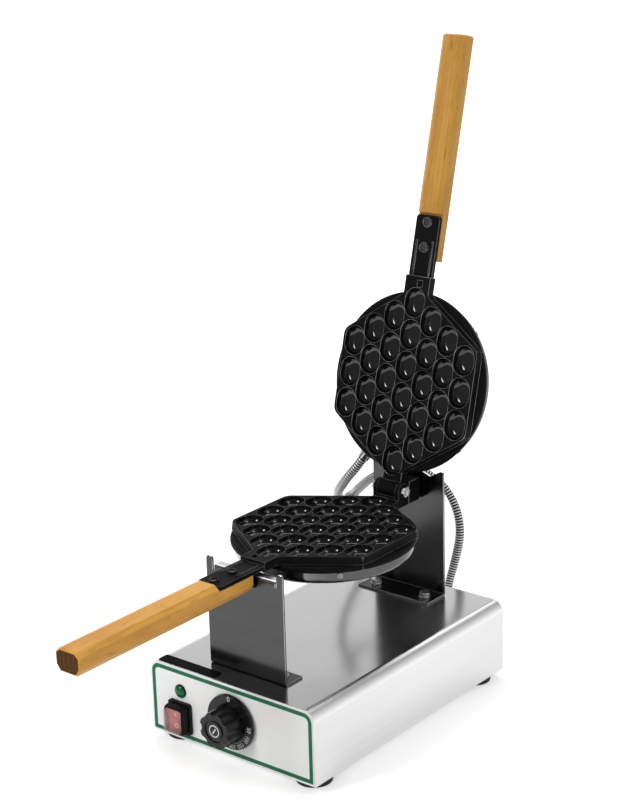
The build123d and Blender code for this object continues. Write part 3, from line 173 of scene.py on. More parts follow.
class Flow:
    """A socket of a finish; +, -, *, ** and abs on it add Math nodes, or Vector Math nodes on vectors."""

    def __init__(self, finish, socket):
        self.finish = finish
        self.socket = socket

    def other(self, name):
        """Another output of the same node."""
        return Flow(self.finish, self.socket.node.outputs[name])

    def join(self, operation, first, second=None):
        """Adds the node of an operation on one or two values."""
        pair = [value for value in (first, second) if value is not None]
        spatial = any(
            value.socket.type in {"VECTOR", "RGBA"} if isinstance(value, Flow) else isinstance(value, tuple)
            for value in pair
        )
        kind = "ShaderNodeVectorMath" if spatial else "ShaderNodeMath"
        return self.finish.node(kind, {"operation": operation}, dict(enumerate(pair)))

    def __add__(self, other):
        return self.join("ADD", self, other)

    __radd__ = __add__

    def __sub__(self, other):
        return self.join("SUBTRACT", self, other)

    def __rsub__(self, other):
        return self.join("SUBTRACT", other, self)

    def __mul__(self, other):
        return self.join("MULTIPLY", self, other)

    __rmul__ = __mul__

    def __pow__(self, other):
        return self.join("POWER", self, other)

    def __abs__(self):
        return self.join("ABSOLUTE", self)

    def most(self, other):
        """The larger of the two."""
        return self.join("MAXIMUM", self, other)

    def least(self, other):
        """The smaller of the two."""
        return self.join("MINIMUM", self, other)

    def dot(self, other):
        """The dot product of two vectors."""
        return self.finish.node(
            "ShaderNodeVectorMath", {"operation": "DOT_PRODUCT"}, {0: self, 1: other}, "Value"
        )

    def swing(self, amount):
        """Noise that swings about zero by this amount in all."""
        return (self - 0.5) * amount

    def ramp(self, low, high):
        """0 below low, 1 above high and smooth between; low may be above high."""
        return self.finish.node(
            "ShaderNodeMapRange",
            {"interpolation_type": "SMOOTHSTEP"},
            {"Value": self, "From Min": low, "From Max": high},
        )

    def wear_and_highlight(self, flat, start=0.985, full=0.87):
        """1 on edges and 0 on faces, for softened normals set against the flat ones; it marks rubbed edges and
        edges with a painted highlight.
        """
        return self.dot(flat).ramp(start, full)

    def blend(self, low, high):
        """The colour low where this is 0 and high where it is 1."""
        return self.finish.node("ShaderNodeMix", {"data_type": "RGBA"}, {0: self, 6: low, 7: high}, 2)


class Finish:
    """The nodes of a material or world being made; a material's are shown by one Principled shader."""

    def __init__(self, name, kind=bpy.data.materials):
        self.material = kind.new(name)
        self.material.use_nodes = True
        self.tree = self.material.node_tree
        self.tree.nodes.clear()
        if kind == bpy.data.materials:
            self.shader = self.node("ShaderNodeBsdfPrincipled").socket.node
            self.node("ShaderNodeOutputMaterial", None, {"Surface": Flow(self, self.shader.outputs[0])})

    def feed(self, socket, value):
        """Links a flow to the socket, or sets it to a number or colour."""
        if isinstance(value, Flow):
            self.tree.links.new(value.socket, socket)
        elif socket.type == "RGBA":
            socket.default_value = (*value, 1.0)
        else:
            socket.default_value = value

    def node(self, kind, settings=None, inputs=None, output=0):
        """Adds a node with its settings, then its inputs, and gives one of its outputs."""
        made = self.tree.nodes.new(kind)
        for name, value in (settings or {}).items():
            setattr(made, name, value)
        for name, value in (inputs or {}).items():
            self.feed(made.inputs[name], value)
        return Flow(self, made.outputs[output]) if len(made.outputs) else None

    def surface(self, **inputs):
        """Feeds the shader's sockets, named with _ for a space."""
        for name, value in inputs.items():
            self.feed(self.shader.inputs[name.replace("_", " ")], value)
        return self.material

    def place(self):
        """Where the point is on the piece."""
        return self.node("ShaderNodeTexCoord", output="Object")

    def facing(self):
        """Which way the face looks."""
        return self.node("ShaderNodeNewGeometry", output="Normal")

    def split(self, vector):
        """The three parts of a vector."""
        x = self.node("ShaderNodeSeparateXYZ", None, {0: vector})
        return x, x.other("Y"), x.other("Z")

    def noise(self, vector, scale, detail=2.0, rough=0.5):
        """Cloudy noise about a half; scale is how many clouds go in a metre."""
        return self.node(
            "ShaderNodeTexNoise", None,
            {"Vector": vector, "Scale": scale, "Detail": detail, "Roughness": rough},
        )

    def turned(self, vector, lean, kind="POINT"):
        """A place or normal turned by a lean about the axis across the maker."""
        return self.node(
            "ShaderNodeMapping", {"vector_type": kind}, {"Vector": vector, "Rotation": (lean, 0.0, 0.0)}
        )

    def soft_edges(self, radius):
        """Normals that are rounded over the edges to this radius."""
        return self.node("ShaderNodeBevel", {"samples": 4}, {"Radius": radius})

    def bump(self, height, distance, strength, edges=None):
        """Normals of a rough surface, on softened edges where given."""
        inputs = {"Height": height, "Distance": distance, "Strength": strength}
        if edges is not None:
            inputs["Normal"] = edges
        return self.node("ShaderNodeBump", None, inputs)

    def rays(self):
        """1 for what the camera sees itself, and 1 for what it sees mirrored or through something."""
        seen = self.node("ShaderNodeLightPath", output="Is Camera Ray")
        return seen, seen.other("Is Glossy Ray").most(seen.other("Is Transmission Ray"))


# Finishes


def toned(tone, share):
    """A colour made darker or lighter, up to white."""
    return [min(share * part, 1.0) for part in tone]


# Height in metres above which a bracket's faces that look up are painted bright as lit, and where they are fully
# so
LIT_FLANGE_START = 0.17
LIT_FLANGE_FULL = 0.175


def brushed_steel(
    name, tone, roughness, brush=(1.0, 0.02, 1.0), streak=0.3, edge=0.0006, smudge=0.06, highlight_tone=None
):
    """Sheet steel with faint smudges and fine lines along the direction in which brush is small.

    Its long bends are duller. A highlight tone paints a highlight on its edges, and paints the flange that the pan
    rests on bright as lit.
    """
    finish = Finish(name)
    place = finish.place()
    lines = finish.noise(place * brush, 900.0, detail=3.0, rough=0.6)
    broad = finish.noise(place * brush, 130.0)
    cloud = finish.noise(place, 9.0)
    shade = 0.5 + lines.swing(streak) * 0.7 + broad.swing(streak)
    edges = finish.soft_edges(edge)
    sheet = shade.blend(toned(tone, 0.6), toned(tone, 1.4))
    flat = finish.facing()
    upward = finish.split(flat)[2]
    bend = upward.ramp(0.05, 0.3) * upward.ramp(1.0, 0.96)
    # Painted highlight: the edges, and the flange's faces that look up, take the bright tone as if lit
    if highlight_tone:
        lit_flange = upward.ramp(0.7, 0.9) * finish.split(place)[2].ramp(LIT_FLANGE_START, LIT_FLANGE_FULL)
        sheet = edges.wear_and_highlight(flat).most(lit_flange).blend(sheet, highlight_tone)
    return finish.surface(
        Base_Color=sheet,
        Metallic=1.0,
        Roughness=roughness + lines.swing(0.1) + cloud.swing(smudge) + bend * 0.2,
        Normal=finish.bump(lines + broad, 0.000006, 0.5, edges),
    )


def polished_dish(name, tone, highlight_tone):
    """Polished sheet with a painted reflection, bright towards the left of the maker and dark towards the right,
    and a painted highlight on its rim.
    """
    finish = Finish(name)
    place = finish.place()
    cloud = finish.noise(place, 12.0)
    lines = finish.noise(place * (1.0, 1.0, 0.05), 700.0)
    flat = finish.facing()
    edges = finish.soft_edges(0.0009)
    # Painted reflection: lighter where the sheet faces the left of the maker and darker where it faces the right
    side = finish.split(flat)[0] + cloud.swing(0.3)
    body = side.ramp(-0.1, 0.75).blend(toned(tone, 2.2), toned(tone, 0.5))
    # Painted highlight on the rim, in the bright tone
    return finish.surface(
        Base_Color=edges.wear_and_highlight(flat).blend(body, highlight_tone),
        Metallic=1.0,
        Roughness=0.12 + cloud.swing(0.08) + lines.swing(0.06),
        Normal=finish.bump(lines, 0.000005, 0.5, edges),
    )


def turned_steel(name, tone, roughness):
    """Zinc or nickel plated small parts, a little uneven."""
    finish = Finish(name)
    place = finish.place()
    grit = finish.noise(place, 700.0, detail=3.0, rough=0.6)
    patch = finish.noise(place, 160.0)
    return finish.surface(
        Base_Color=patch.ramp(0.3, 0.75).blend(toned(tone, 0.82), tone),
        Metallic=1.0,
        Roughness=roughness + grit.swing(0.16),
        Normal=finish.bump(grit, 0.00003, 0.35, finish.soft_edges(0.0003)),
    )


def ribbed_steel(name, tone):
    """Bright wound strip with shadowed grooves between its ribs."""
    finish = Finish(name)
    groove = finish.node("ShaderNodeAttribute", {"attribute_name": "groove"}, output="Fac")
    shadow = groove.ramp(0.1, 0.6)
    place = finish.place()
    grit = finish.noise(place, 500.0, detail=3.0, rough=0.6)
    patch = finish.noise(place, 160.0)
    bright = patch.ramp(0.3, 0.75).blend(toned(tone, 0.8), tone)
    return finish.surface(
        Base_Color=shadow.blend(bright, (0.006, 0.006, 0.006)),
        Metallic=0.6 - shadow * 0.6,
        Roughness=0.22 + groove * 0.5 + grit.swing(0.12),
        Specular_IOR_Level=0.1,
        Normal=finish.bump(grit, 0.00003, 0.35),
    )


# How far the slanted sides of the cells' field face across and along the pan
FIELD_ACROSS = 0.558
FIELD_ALONG = 0.83

# Distance in metres from the pan's middle at which the field starts, and at which it is full
FIELD_START = 0.0834
FIELD_FULL = 0.0828

# Depth in metres at which a cell's wall starts to shine, and at which it shines fully
CELL_START = 0.0003
CELL_FULL = 0.0009


def black_casting(name, tone, rubbed_highlight_tone, pan=None):
    """Cast iron with a black coating: dull and sandy where ground flat, glossy in the cells of a pan, with rubbed
    edges of bright bare metal that are also a painted highlight on the rims.

    The pan is given by its middle, the way to its handle and the way out of its back.
    """
    finish = Finish(name)
    place = finish.place()
    sand = finish.noise(place, 1500.0, detail=3.0, rough=0.6)
    wave = finish.noise(place, 240.0)
    patch = finish.noise(place, 26.0, detail=3.0, rough=0.6)
    edges = finish.soft_edges(0.001)
    # Rubbed edges of bright bare metal: partly real wear, partly a painted highlight on the rims
    rubbed_and_highlit = edges.wear_and_highlight(finish.facing(), 0.98, 0.86) * patch.ramp(0.2, 0.5)
    tint = patch.ramp(0.25, 0.8).blend(toned(tone, 0.75), toned(tone, 1.35))
    polish = 0.0
    if pan:
        middle, handle_way, back_way = (tuple(vector) for vector in pan)
        from_middle = place - middle
        depth = from_middle.dot(back_way)
        across = abs(finish.split(from_middle)[0])
        slant = across * FIELD_ACROSS + abs(from_middle.dot(handle_way)) * FIELD_ALONG
        polish = across.most(slant).ramp(FIELD_START, FIELD_FULL) * depth.ramp(CELL_START, CELL_FULL)
    return finish.surface(
        Base_Color=rubbed_and_highlit.blend(tint, rubbed_highlight_tone),
        Metallic=rubbed_and_highlit,
        Roughness=0.56 + patch.swing(0.12) + sand.swing(0.1) - rubbed_and_highlit.most(polish) * 0.2,
        Specular_IOR_Level=0.05,
        Coat_Weight=polish * 0.8 + 0.01,
        Coat_IOR=1.65,
        Coat_Roughness=0.09,
        Normal=finish.bump(sand * 0.5 + wave, 0.00004, 0.3, edges),
    )


def lacquered_wood(name, light, dark, lean):
    """Beech along a handle that leans: long grain, short dark flecks and a clear lacquer."""
    finish = Finish(name)
    turned = finish.turned(finish.place(), lean)
    wander = finish.noise(turned * (1.0, 0.12, 1.0), 30.0)
    rings = finish.node(
        "ShaderNodeTexWave",
        {"wave_type": "BANDS", "bands_direction": "X", "wave_profile": "SIN"},
        {
            "Vector": turned * (1.0, 0.05, 0.7) + wander * 0.014,
            "Scale": 62.0, "Distortion": 5.0, "Detail": 3.0, "Detail Scale": 1.2,
        },
        "Fac",
    )
    pores = finish.noise(turned * (1.0, 0.045, 1.0), 1500.0, detail=3.0, rough=0.65)
    flecks = finish.noise(turned * (1.0, 0.1, 1.0), 620.0)
    cloud = finish.noise(turned * (1.0, 0.3, 1.0), 22.0, detail=3.0, rough=0.6)
    normal = finish.turned(finish.node("ShaderNodeTexCoord", output="Normal"), lean, "NORMAL")
    end_grain = abs(finish.split(normal)[1]).ramp(0.75, 0.95)
    late = rings * 0.15 + cloud.ramp(0.3, 0.72) * 0.55
    fine = flecks.ramp(0.6, 0.72) * 0.45 + pores.ramp(0.58, 0.74) * 0.3
    body = fine.blend(late.blend(light, dark), toned(dark, 0.62))
    # End grain is darker, and is toned down further, to a tenth to a quarter of the late wood, as painted shade
    end_grain_and_shade = (rings * 0.6 + pores * 0.4).blend(toned(dark, 0.1), toned(dark, 0.24))
    return finish.surface(
        Base_Color=end_grain.blend(body, end_grain_and_shade),
        Roughness=0.45 + end_grain * 0.22 + pores.swing(0.16),
        Specular_IOR_Level=0.12,
        Coat_Weight=0.14 - end_grain * 0.14,
        Coat_Roughness=0.16,
        Normal=finish.bump(pores + rings * 0.4, 0.00005, 0.4, finish.soft_edges(0.0009)),
    )


def moulded_plastic(name, tone, roughness=0.4, coat=0.0, grain=0.00003, fade=0.8, shine=0.2):
    """Moulded plastic with a fine grain and slightly uneven gloss."""
    finish = Finish(name)
    place = finish.place()
    grit = finish.noise(place, 1900.0)
    patch = finish.noise(place, 55.0, detail=3.0, rough=0.6)
    return finish.surface(
        Base_Color=patch.ramp(0.3, 0.7).blend(toned(tone, fade), tone),
        Roughness=roughness + patch.swing(0.14),
        Specular_IOR_Level=shine,
        Coat_Weight=patch * 0.4 * coat + 0.8 * coat if coat else 0.0,
        Coat_Roughness=0.06,
        Normal=finish.bump(grit, grain, 0.3, finish.soft_edges(0.0004)),
    )


def clear_rubber(name, tone, cover):
    """Soft see-through rubber, a little milky in places."""
    finish = Finish(name)
    cloud = finish.noise(finish.place(), 90.0)
    return finish.surface(
        Base_Color=cloud.ramp(0.3, 0.7).blend(toned(tone, 0.9), tone),
        Roughness=0.2 + cloud.swing(0.1),
        Specular_IOR_Level=0.4,
        Alpha=cover + cloud.swing(0.1),
    )


# The panel's film, in metres: radius of its upper corners, and fade at the edges of its border
FILM_CORNER = 0.0104
INK_EDGE = 0.00025

# Colour of the film's rim outside the border
FILM_RIM = (0.86, 0.86, 0.86)


def printed_film(name, tone, green, low, high, inset, width):
    """Film with a green border that follows the panel's outline and a white rim outside it."""
    finish = Finish(name)
    place = finish.place()
    x, _, z = finish.split(place)
    side = abs(x - (high.x + low.x) / 2) - ((high.x - low.x) / 2 - FILM_CORNER)
    rise = z - (high.z - FILM_CORNER)
    outside = side.most(0.0) ** 2.0 + rise.most(0.0) ** 2.0
    rounded = outside ** 0.5 + side.most(rise).least(0.0) - FILM_CORNER
    depth = 0.0 - rounded.most(low.z - z)
    line = depth.ramp(inset, inset + INK_EDGE) * depth.ramp(inset + width, inset + width - INK_EDGE)
    mist = finish.noise(place, 14.0, detail=3.0, rough=0.6)
    speck = finish.noise(place, 900.0)
    sheet = mist.ramp(0.25, 0.8).blend(toned(tone, 0.93), tone)
    sheet = depth.ramp(inset + 0.0002, inset - 0.0001).blend(sheet, FILM_RIM)
    ink = mist.ramp(0.3, 0.7).blend(toned(green, 0.85), green)
    return finish.surface(
        Base_Color=line.blend(sheet, ink),
        Metallic=0.06 - line * 0.06,
        Roughness=0.4 + mist.swing(0.12),
        Specular_IOR_Level=0.2,
        Normal=finish.bump(speck + line * 0.6, 0.00002, 0.3),
    )


def heated_fibre(name, tone, roughness):
    """Matt fibre or rubber with a coarse, soft surface."""
    finish = Finish(name)
    place = finish.place()
    fuzz = finish.noise(place, 800.0, detail=4.0, rough=0.7)
    patch = finish.noise(place, 60.0, detail=3.0, rough=0.6)
    return finish.surface(
        Base_Color=(fuzz * 0.5 + patch * 0.5).ramp(0.3, 0.7).blend(toned(tone, 0.75), tone),
        Roughness=roughness - patch * 0.15,
        Normal=finish.bump(fuzz, 0.00012, 0.5),
    )


# Slots of turned or pressed metal: the finish's name, its tone and its roughness
SMALL_METALS = {
    "shaft_steel": ("turned_shaft_steel", (0.56, 0.56, 0.57), 0.25),
    "thermostat_metal": ("pressed_thermostat_metal", (0.62, 0.62, 0.62), 0.4),
    "fastener": ("zinc_fasteners", (0.7, 0.7, 0.69), 0.27),
    "gland_steel": ("nickel_glands", (0.66, 0.65, 0.63), 0.22),
    "bush_brass": ("brass_bush", (0.66, 0.45, 0.18), 0.3),
    "element_steel": ("oxidised_element", (0.16, 0.14, 0.13), 0.55),
}

# Slots of rubber or fibre, in the same way
SOFT_FINISHES = {
    "feet_rubber": ("black_rubber", (0.006, 0.006, 0.006), 0.8),
    "insulation_fibre": ("ceramic_fibre", (0.8, 0.78, 0.73), 0.95),
}

FINISHES = {}


def make_finish(slot):
    """Makes the finish of one of the record's material slots."""
    tones = bpy.context.scene.waffle_maker_colours
    sizes = bpy.context.scene.waffle_maker_sizes
    if slot in SMALL_METALS:
        return turned_steel(*SMALL_METALS[slot])
    if slot in SOFT_FINISHES:
        return heated_fibre(*SOFT_FINISHES[slot])
    if slot == "base_steel":
        return brushed_steel("brushed_base_steel", tones.base, 0.17, streak=0.12, smudge=0.03)
    if slot == "panel_steel":
        return brushed_steel("brushed_panel_steel", tones.base, 0.24, brush=(0.02, 1.0, 1.0))
    # The brackets get painted shade in their dark tone, and a painted highlight on their edges and flange
    if slot == "bracket_steel":
        return brushed_steel(
            "brushed_bracket_steel", tones.bracket, 0.2, brush=(0.02, 0.02, 1.0), edge=0.0009,
            highlight_tone=(0.8, 0.8, 0.8),
        )
    # The dishes get painted shade in their dark tone, a painted reflection, and a painted highlight on the rim
    if slot == "cover_steel":
        return polished_dish("polished_cover_steel", tones.cover, (0.75, 0.75, 0.75))
    if slot == "hose_steel":
        return ribbed_steel("ribbed_conduit", tones.conduit)
    if slot == "cast_black":
        return black_casting("coated_casting", tones.casting, tones.casting_rubbed_highlight)
    if slot == "panel_face":
        low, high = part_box("panel_overlay")
        return printed_film(
            "printed_panel_film", tones.panel, tones.border, low, high, sizes.border_inset, sizes.border_width
        )
    if slot == "knob_plastic":
        return moulded_plastic("gloss_knob_plastic", (0.006, 0.0062, 0.0064), 0.34, coat=0.3, shine=0.15)
    if slot == "black_plastic":
        return moulded_plastic("satin_black_plastic", (0.005, 0.0056, 0.0056), 0.42, coat=0.05, shine=0.12)
    if slot == "white_plastic":
        return moulded_plastic("white_plastic", (0.8, 0.8, 0.78))
    if slot == "lamp_green":
        return moulded_plastic("green_lens", tones.lamp, 0.3, coat=0.25, grain=0.00006, fade=0.55)
    if slot == "rocker_red":
        return moulded_plastic("red_rocker", tones.rocker, 0.25, coat=0.5, grain=0.00002, shine=0.3)
    raise RuntimeError("no finish is known for the slot " + slot)


def finish_for(slot):
    """The finish of a material slot, made the first time that it is asked for."""
    if slot not in FINISHES:
        FINISHES[slot] = make_finish(slot)
    return FINISHES[slot]


def dress(material, *nodes):
    """Puts a material on pieces of the model."""
    for node in nodes:
        piece = frame["nodes"][node]
        if not piece.material_slots:
            piece.data.materials.append(material)
        for slot in piece.material_slots:
            slot.material = material
        piece["dressed"] = True


def dress_by_slot(*nodes):
    """Puts on pieces of the model the finish of their own slot."""
    for node in nodes:
        dress(finish_for(SLOTS[node]), node)


# Meshes


def piece_from(shape, name, body, slot, material=None, smooth=True):
    """Turns a bmesh into a piece that rides on a body of the model."""
    mesh = bpy.data.meshes.new(name)
    bmesh.ops.recalc_face_normals(shape, faces=shape.faces)
    shape.to_mesh(mesh)
    shape.free()
    mesh.materials.append(material or finish_for(slot))
    for face in mesh.polygons:
        face.use_smooth = smooth
    piece = bpy.data.objects.new(name, mesh)
    bpy.context.scene.collection.objects.link(piece)
    if body:
        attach(piece, body)
    return piece


def mesh_of(curve):
    """The mesh that a curve or a text gives; the curve itself is removed."""
    holder = bpy.data.objects.new(curve.name, curve)
    mesh = bpy.data.meshes.new_from_object(holder)
    bpy.data.objects.remove(holder)
    bpy.data.curves.remove(curve)
    return mesh


def join_loops(shape, loops):
    """Faces between each loop of points and the next."""
    for first, second in zip(loops, loops[1:]):
        for index in range(len(first)):
            following = (index + 1) % len(first)
            shape.faces.new((first[index], first[following], second[following], second[index]))


def turned_ring(shape, place, profile, steps=48):
    """Adds a closed profile of (radius, level), turned; place makes a point of (x, y, level)."""
    angles = [2 * pi * step / steps for step in range(steps)]
    loops = [
        [shape.verts.new(place(radius * cos(turn), radius * sin(turn), level)) for turn in angles]
        for radius, level in profile
    ]
    join_loops(shape, loops + loops[:1])


def flat_ring(shape, place, inner, outer, depth, steps=48):
    """Adds a flat ring from level 0 to its depth; place is as for a turned ring."""
    turned_ring(shape, place, ((outer, 0.0), (outer, depth), (inner, depth), (inner, 0.0)), steps)


# Steps round each rounded corner
CORNER_STEPS = 6


def rounded_outline(width, height, corner):
    """Points round a rectangle with rounded corners, about its middle."""
    outline = []
    for quarter in range(4):
        x = (width / 2 - corner) * (1 if quarter in (0, 3) else -1)
        y = (height / 2 - corner) * (1 if quarter in (0, 1) else -1)
        for step in range(CORNER_STEPS + 1):
            angle = (quarter + step / CORNER_STEPS) * pi / 2
            outline.append((x + corner * cos(angle), y + corner * sin(angle)))
    return outline


def front_loops(shape, centre, width, height, corner, profile):
    """Rounded rectangles that face the front, each at a level ahead of centre and smaller by its trim."""
    return [
        [
            shape.verts.new(centre + Vector((x, -level, z)))
            for x, z in rounded_outline(width - trim, height - trim, corner)
        ]
        for level, trim in profile
    ]


# Camera

# Width of the camera's sensor in millimetres, and how far it sees in metres
SENSOR_WIDTH = 36.0
FARTHEST_SEEN = 100.0


class WAFFLE_OT_camera(Operator):
    """Stand the camera where the photograph was taken from"""

    bl_idname = "waffle.camera"
    bl_label = "Camera"

    def execute(self, context):
        sizes = context.scene.waffle_maker_sizes
        turn, rise, roll = sizes.camera_azimuth, sizes.camera_elevation, sizes.camera_roll
        ahead = Vector((-sin(turn) * cos(rise), cos(turn) * cos(rise), -sin(rise)))
        right = Vector((cos(turn), sin(turn), 0.0))
        up = right.cross(ahead)
        across = right * cos(roll) + up * sin(roll)
        upward = up * cos(roll) - right * sin(roll)
        lens = bpy.data.cameras.new("photo_camera")
        lens.lens = sizes.camera_lens
        lens.sensor_width = SENSOR_WIDTH
        lens.clip_end = FARTHEST_SEEN
        camera = bpy.data.objects.new("photo_camera", lens)
        aimed = Matrix((across, upward, -ahead)).transposed().to_4x4()
        camera.matrix_world = Matrix.Translation(sizes.camera_place) @ aimed
        context.scene.collection.objects.link(camera)
        context.scene.camera = camera
        return {"FINISHED"}


# Conduits

# Control points between a conduit's ends, in millimetres from the lower pan's middle where the pans meet
UPPER_MIDDLE = (
    (-70, 130, -2), (-81, 133, -15), (-92, 140, -26), (-101, 151, -37), (-107, 164, -47),
    (-111, 178, -56), (-112, 192, -67), (-112, 205, -79), (-110, 215, -93), (-104, 222, -107),
    (-96, 225, -122), (-86, 224, -137), (-76, 219, -148), (-68, 208, -156),
)
LOWER_MIDDLE = (
    (-66, 120, -23), (-70, 138, -25), (-74, 157, -22), (-73, 176, -17), (-67, 193, -13),
    (-55, 207, -11), (-40, 216, -13), (-23, 222, -20), (-8, 224, -32), (3, 224, -47),
    (9, 224, -64), (10, 224, -83), (6, 224, -102), (2, 222, -121), (0, 216, -138),
    (4, 207, -153),
)

# Exit from a dish: millimetres from the pan's middle, millimetres out of its back, degrees off straight back
DISH_SEAT = 96.0
DISH_LEVEL = 20.8
DISH_TURN = 30.0

# Straight stretch at each end of a conduit, in millimetres
FIRST_RUN = 18.0

# Entry to the rear panel, in millimetres: from front to back, its height, and across for each conduit
REAR_SEAT = 224.838
REAR_LEVEL = 41.2
LOWER_ENTRY = 8.0
UPPER_ENTRY = -64.0

# Depth of the groove at each step along one rib, as a share of the full depth
RIB_DEPTHS = (1.0, 0.8, 0.0, 0.1)


def conduit_points(on_pan, side, middle, entry):
    """Control points of a conduit, from its seat in the dish to its seat in the rear panel."""
    angle = radians(-90 + DISH_TURN * side)
    start = on_pan(DISH_SEAT * cos(angle), DISH_SEAT * sin(angle), DISH_LEVEL)
    reach = DISH_SEAT + FIRST_RUN
    ahead = on_pan(reach * cos(angle), reach * sin(angle), DISH_LEVEL)
    between = [Vector((x, PAN_MIDDLE + y, PARTING_LEVEL + z)) * MM for x, y, z in middle]
    end = Vector((entry, REAR_SEAT, REAR_LEVEL)) * MM
    return [start, ahead] + between + [end + Vector((0, FIRST_RUN * MM, 0)), end]


def smooth_line(points):
    """Points read along the NURBS line that has these control points."""
    curve = bpy.data.curves.new("conduit_line", "CURVE")
    curve.dimensions = "3D"
    curve.resolution_u = 24
    spline = curve.splines.new("NURBS")
    spline.points.add(len(points) - 1)
    for knot, point in zip(spline.points, points):
        knot.co = (*point, 1.0)
    spline.order_u = 3
    spline.use_endpoint_u = True
    mesh = mesh_of(curve)
    line = [vertex.co.copy() for vertex in mesh.vertices]
    bpy.data.meshes.remove(mesh)
    return line


def along_line(line, step):
    """Points at even steps along a line, and its length."""
    reaches = [0.0]
    for before, after in zip(line, line[1:]):
        reaches.append(reaches[-1] + (after - before).length)
    count = round(reaches[-1] / step)
    points, run = [], 0
    for index in range(count + 1):
        reach = reaches[-1] * index / count
        while run < len(line) - 2 and reaches[run + 1] < reach:
            run += 1
        share = (reach - reaches[run]) / (reaches[run + 1] - reaches[run])
        points.append(line[run].lerp(line[run + 1], share))
    return points, reaches[-1]


def ribbed_tube(line, radius, groove, pitch, sides):
    """A tube along the line with a round rib at each step of the pitch."""
    points, reach = along_line(line, pitch / len(RIB_DEPTHS))
    shape = bmesh.new()
    hollow = shape.verts.layers.float.new("groove")
    ahead = (points[1] - points[0]).normalized()
    across = ahead.orthogonal().normalized()
    rings = []
    for index, point in enumerate(points):
        before, after = points[max(index - 1, 0)], points[min(index + 1, len(points) - 1)]
        turned = (after - before).normalized()
        across = (ahead.rotation_difference(turned) @ across).normalized()
        ahead = turned
        up = ahead.cross(across)
        depth = RIB_DEPTHS[index % len(RIB_DEPTHS)]
        size = radius - groove * depth
        ring = []
        for side in range(sides):
            angle = 2 * pi * side / sides
            ring.append(shape.verts.new(point + (across * cos(angle) + up * sin(angle)) * size))
            ring[-1][hollow] = depth
        rings.append(ring)
    join_loops(shape, rings)
    shape.faces.new(rings[0][::-1])
    shape.faces.new(rings[-1])
    return shape, points, reach


class WAFFLE_OT_conduits(Operator):
    """Make the two ribbed metal conduits behind the pans"""

    bl_idname = "waffle.conduits"
    bl_label = "Conduits"

    def execute(self, context):
        sizes = context.scene.waffle_maker_sizes
        for name, on_pan, side, middle, entry in (
            ("lower", on_lower_pan, -1, LOWER_MIDDLE, LOWER_ENTRY),
            ("upper", on_upper_pan, 1, UPPER_MIDDLE, UPPER_ENTRY),
        ):
            route = conduit_points(on_pan, side, middle, entry)
            line = smooth_line(route)
            shape, points, reach = ribbed_tube(
                line, sizes.hose_radius, sizes.hose_groove, sizes.hose_pitch, sizes.hose_sides
            )
            bends = name == "upper"
            conduit = piece_from(shape, name + "_conduit", None if bends else "base", "hose_steel")
            if bends:
                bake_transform(conduit)
            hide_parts(name + "_hose")
        dress_by_slot("lower_hose", "upper_hose", "lower_dish_gland", "upper_dish_gland", "rear_glands")
        dress_by_slot("rear_gland_nuts", "mains_gland")
        return {"FINISHED"}


# Pans, dishes and handles


class WAFFLE_OT_pans(Operator):
    """Coat the two cast pans and the hinge block"""

    bl_idname = "waffle.pans"
    bl_label = "Pans"

    def execute(self, context):
        tones = context.scene.waffle_maker_colours
        # The lower pan's rubbed edges are toned to 0.4 of the upper pan's: a painted highlight that is weaker on
        # the lower pan
        for name, on_pan, wear_and_highlight in (("lower", on_lower_pan, 0.4), ("upper", on_upper_pan, 1.0)):
            middle = on_pan(0, 0, 0)
            handle_way = (on_pan(0, 1, 0) - middle) / MM
            back_way = (on_pan(0, 0, 1) - middle) / MM
            rubbed_highlight_tone = toned(tones.casting_rubbed_highlight, wear_and_highlight)
            pan = (middle, handle_way, back_way)
            dress(black_casting(name + "_casting", tones.casting, rubbed_highlight_tone, pan), name + "_mould")
        dress_by_slot("hinge_block", "hinge_bolt", "hinge_nut", "hinge_block_screws")
        return {"FINISHED"}


class WAFFLE_OT_dishes(Operator):
    """Polish the round dishes behind the pans and finish the heaters in them"""

    bl_idname = "waffle.dishes"
    bl_label = "Heater dishes"

    def execute(self, context):
        # The dish screws are toned to about a third of the other fasteners, as painted shade
        screws = turned_steel("shaded_cover_screws", (0.24, 0.24, 0.24), 0.34)
        for pan in ("lower_", "upper_"):
            dress_by_slot(pan + "heater_cover", pan + "heating_element", pan + "insulation")
            dress(screws, pan + "cover_screws")
        return {"FINISHED"}


class WAFFLE_OT_handles(Operator):
    """Finish the wooden handles and their screws"""

    bl_idname = "waffle.handles"
    bl_label = "Handles"

    def execute(self, context):
        tones = context.scene.waffle_maker_colours
        screws = turned_steel("blackened_screws", (0.1, 0.1, 0.102), 0.24)
        # The lower handle's wood is toned up by 1.14 and the upper's down to 0.93: painted light on the lower
        # handle and painted shade on the upper
        for name, lean, pale in (("lower", 0.0, 1.14), ("upper", OPEN_ANGLE, 0.93)):
            light, dark = toned(tones.wood_light, pale), toned(tones.wood_dark, pale)
            dress(lacquered_wood(name + "_beech", light, dark, lean), name + "_handle")
            dress(screws, name + "_handle_screws")
        return {"FINISHED"}


# Base, brackets and nameplate

# Half section of a rubber foot: radius and level in metres, from its screw hole outwards and round
FOOT_PROFILE = (
    (0.0022, 0.003), (0.0042, 0.003), (0.0042, 0.0), (0.0172, 0.0), (0.0178, 0.0003), (0.0181, 0.001),
    (0.0181, 0.007), (0.0175, 0.008), (0.0022, 0.008),
)

# From the outer sides of the solid feet to their middles, in metres
FOOT_INSET = 0.012

# The nameplate's middle across the base and behind its front edge, and its corners' radius, in metres
PLATE_ACROSS = -0.0585
PLATE_BEHIND = 0.0075
PLATE_CORNER = 0.0016

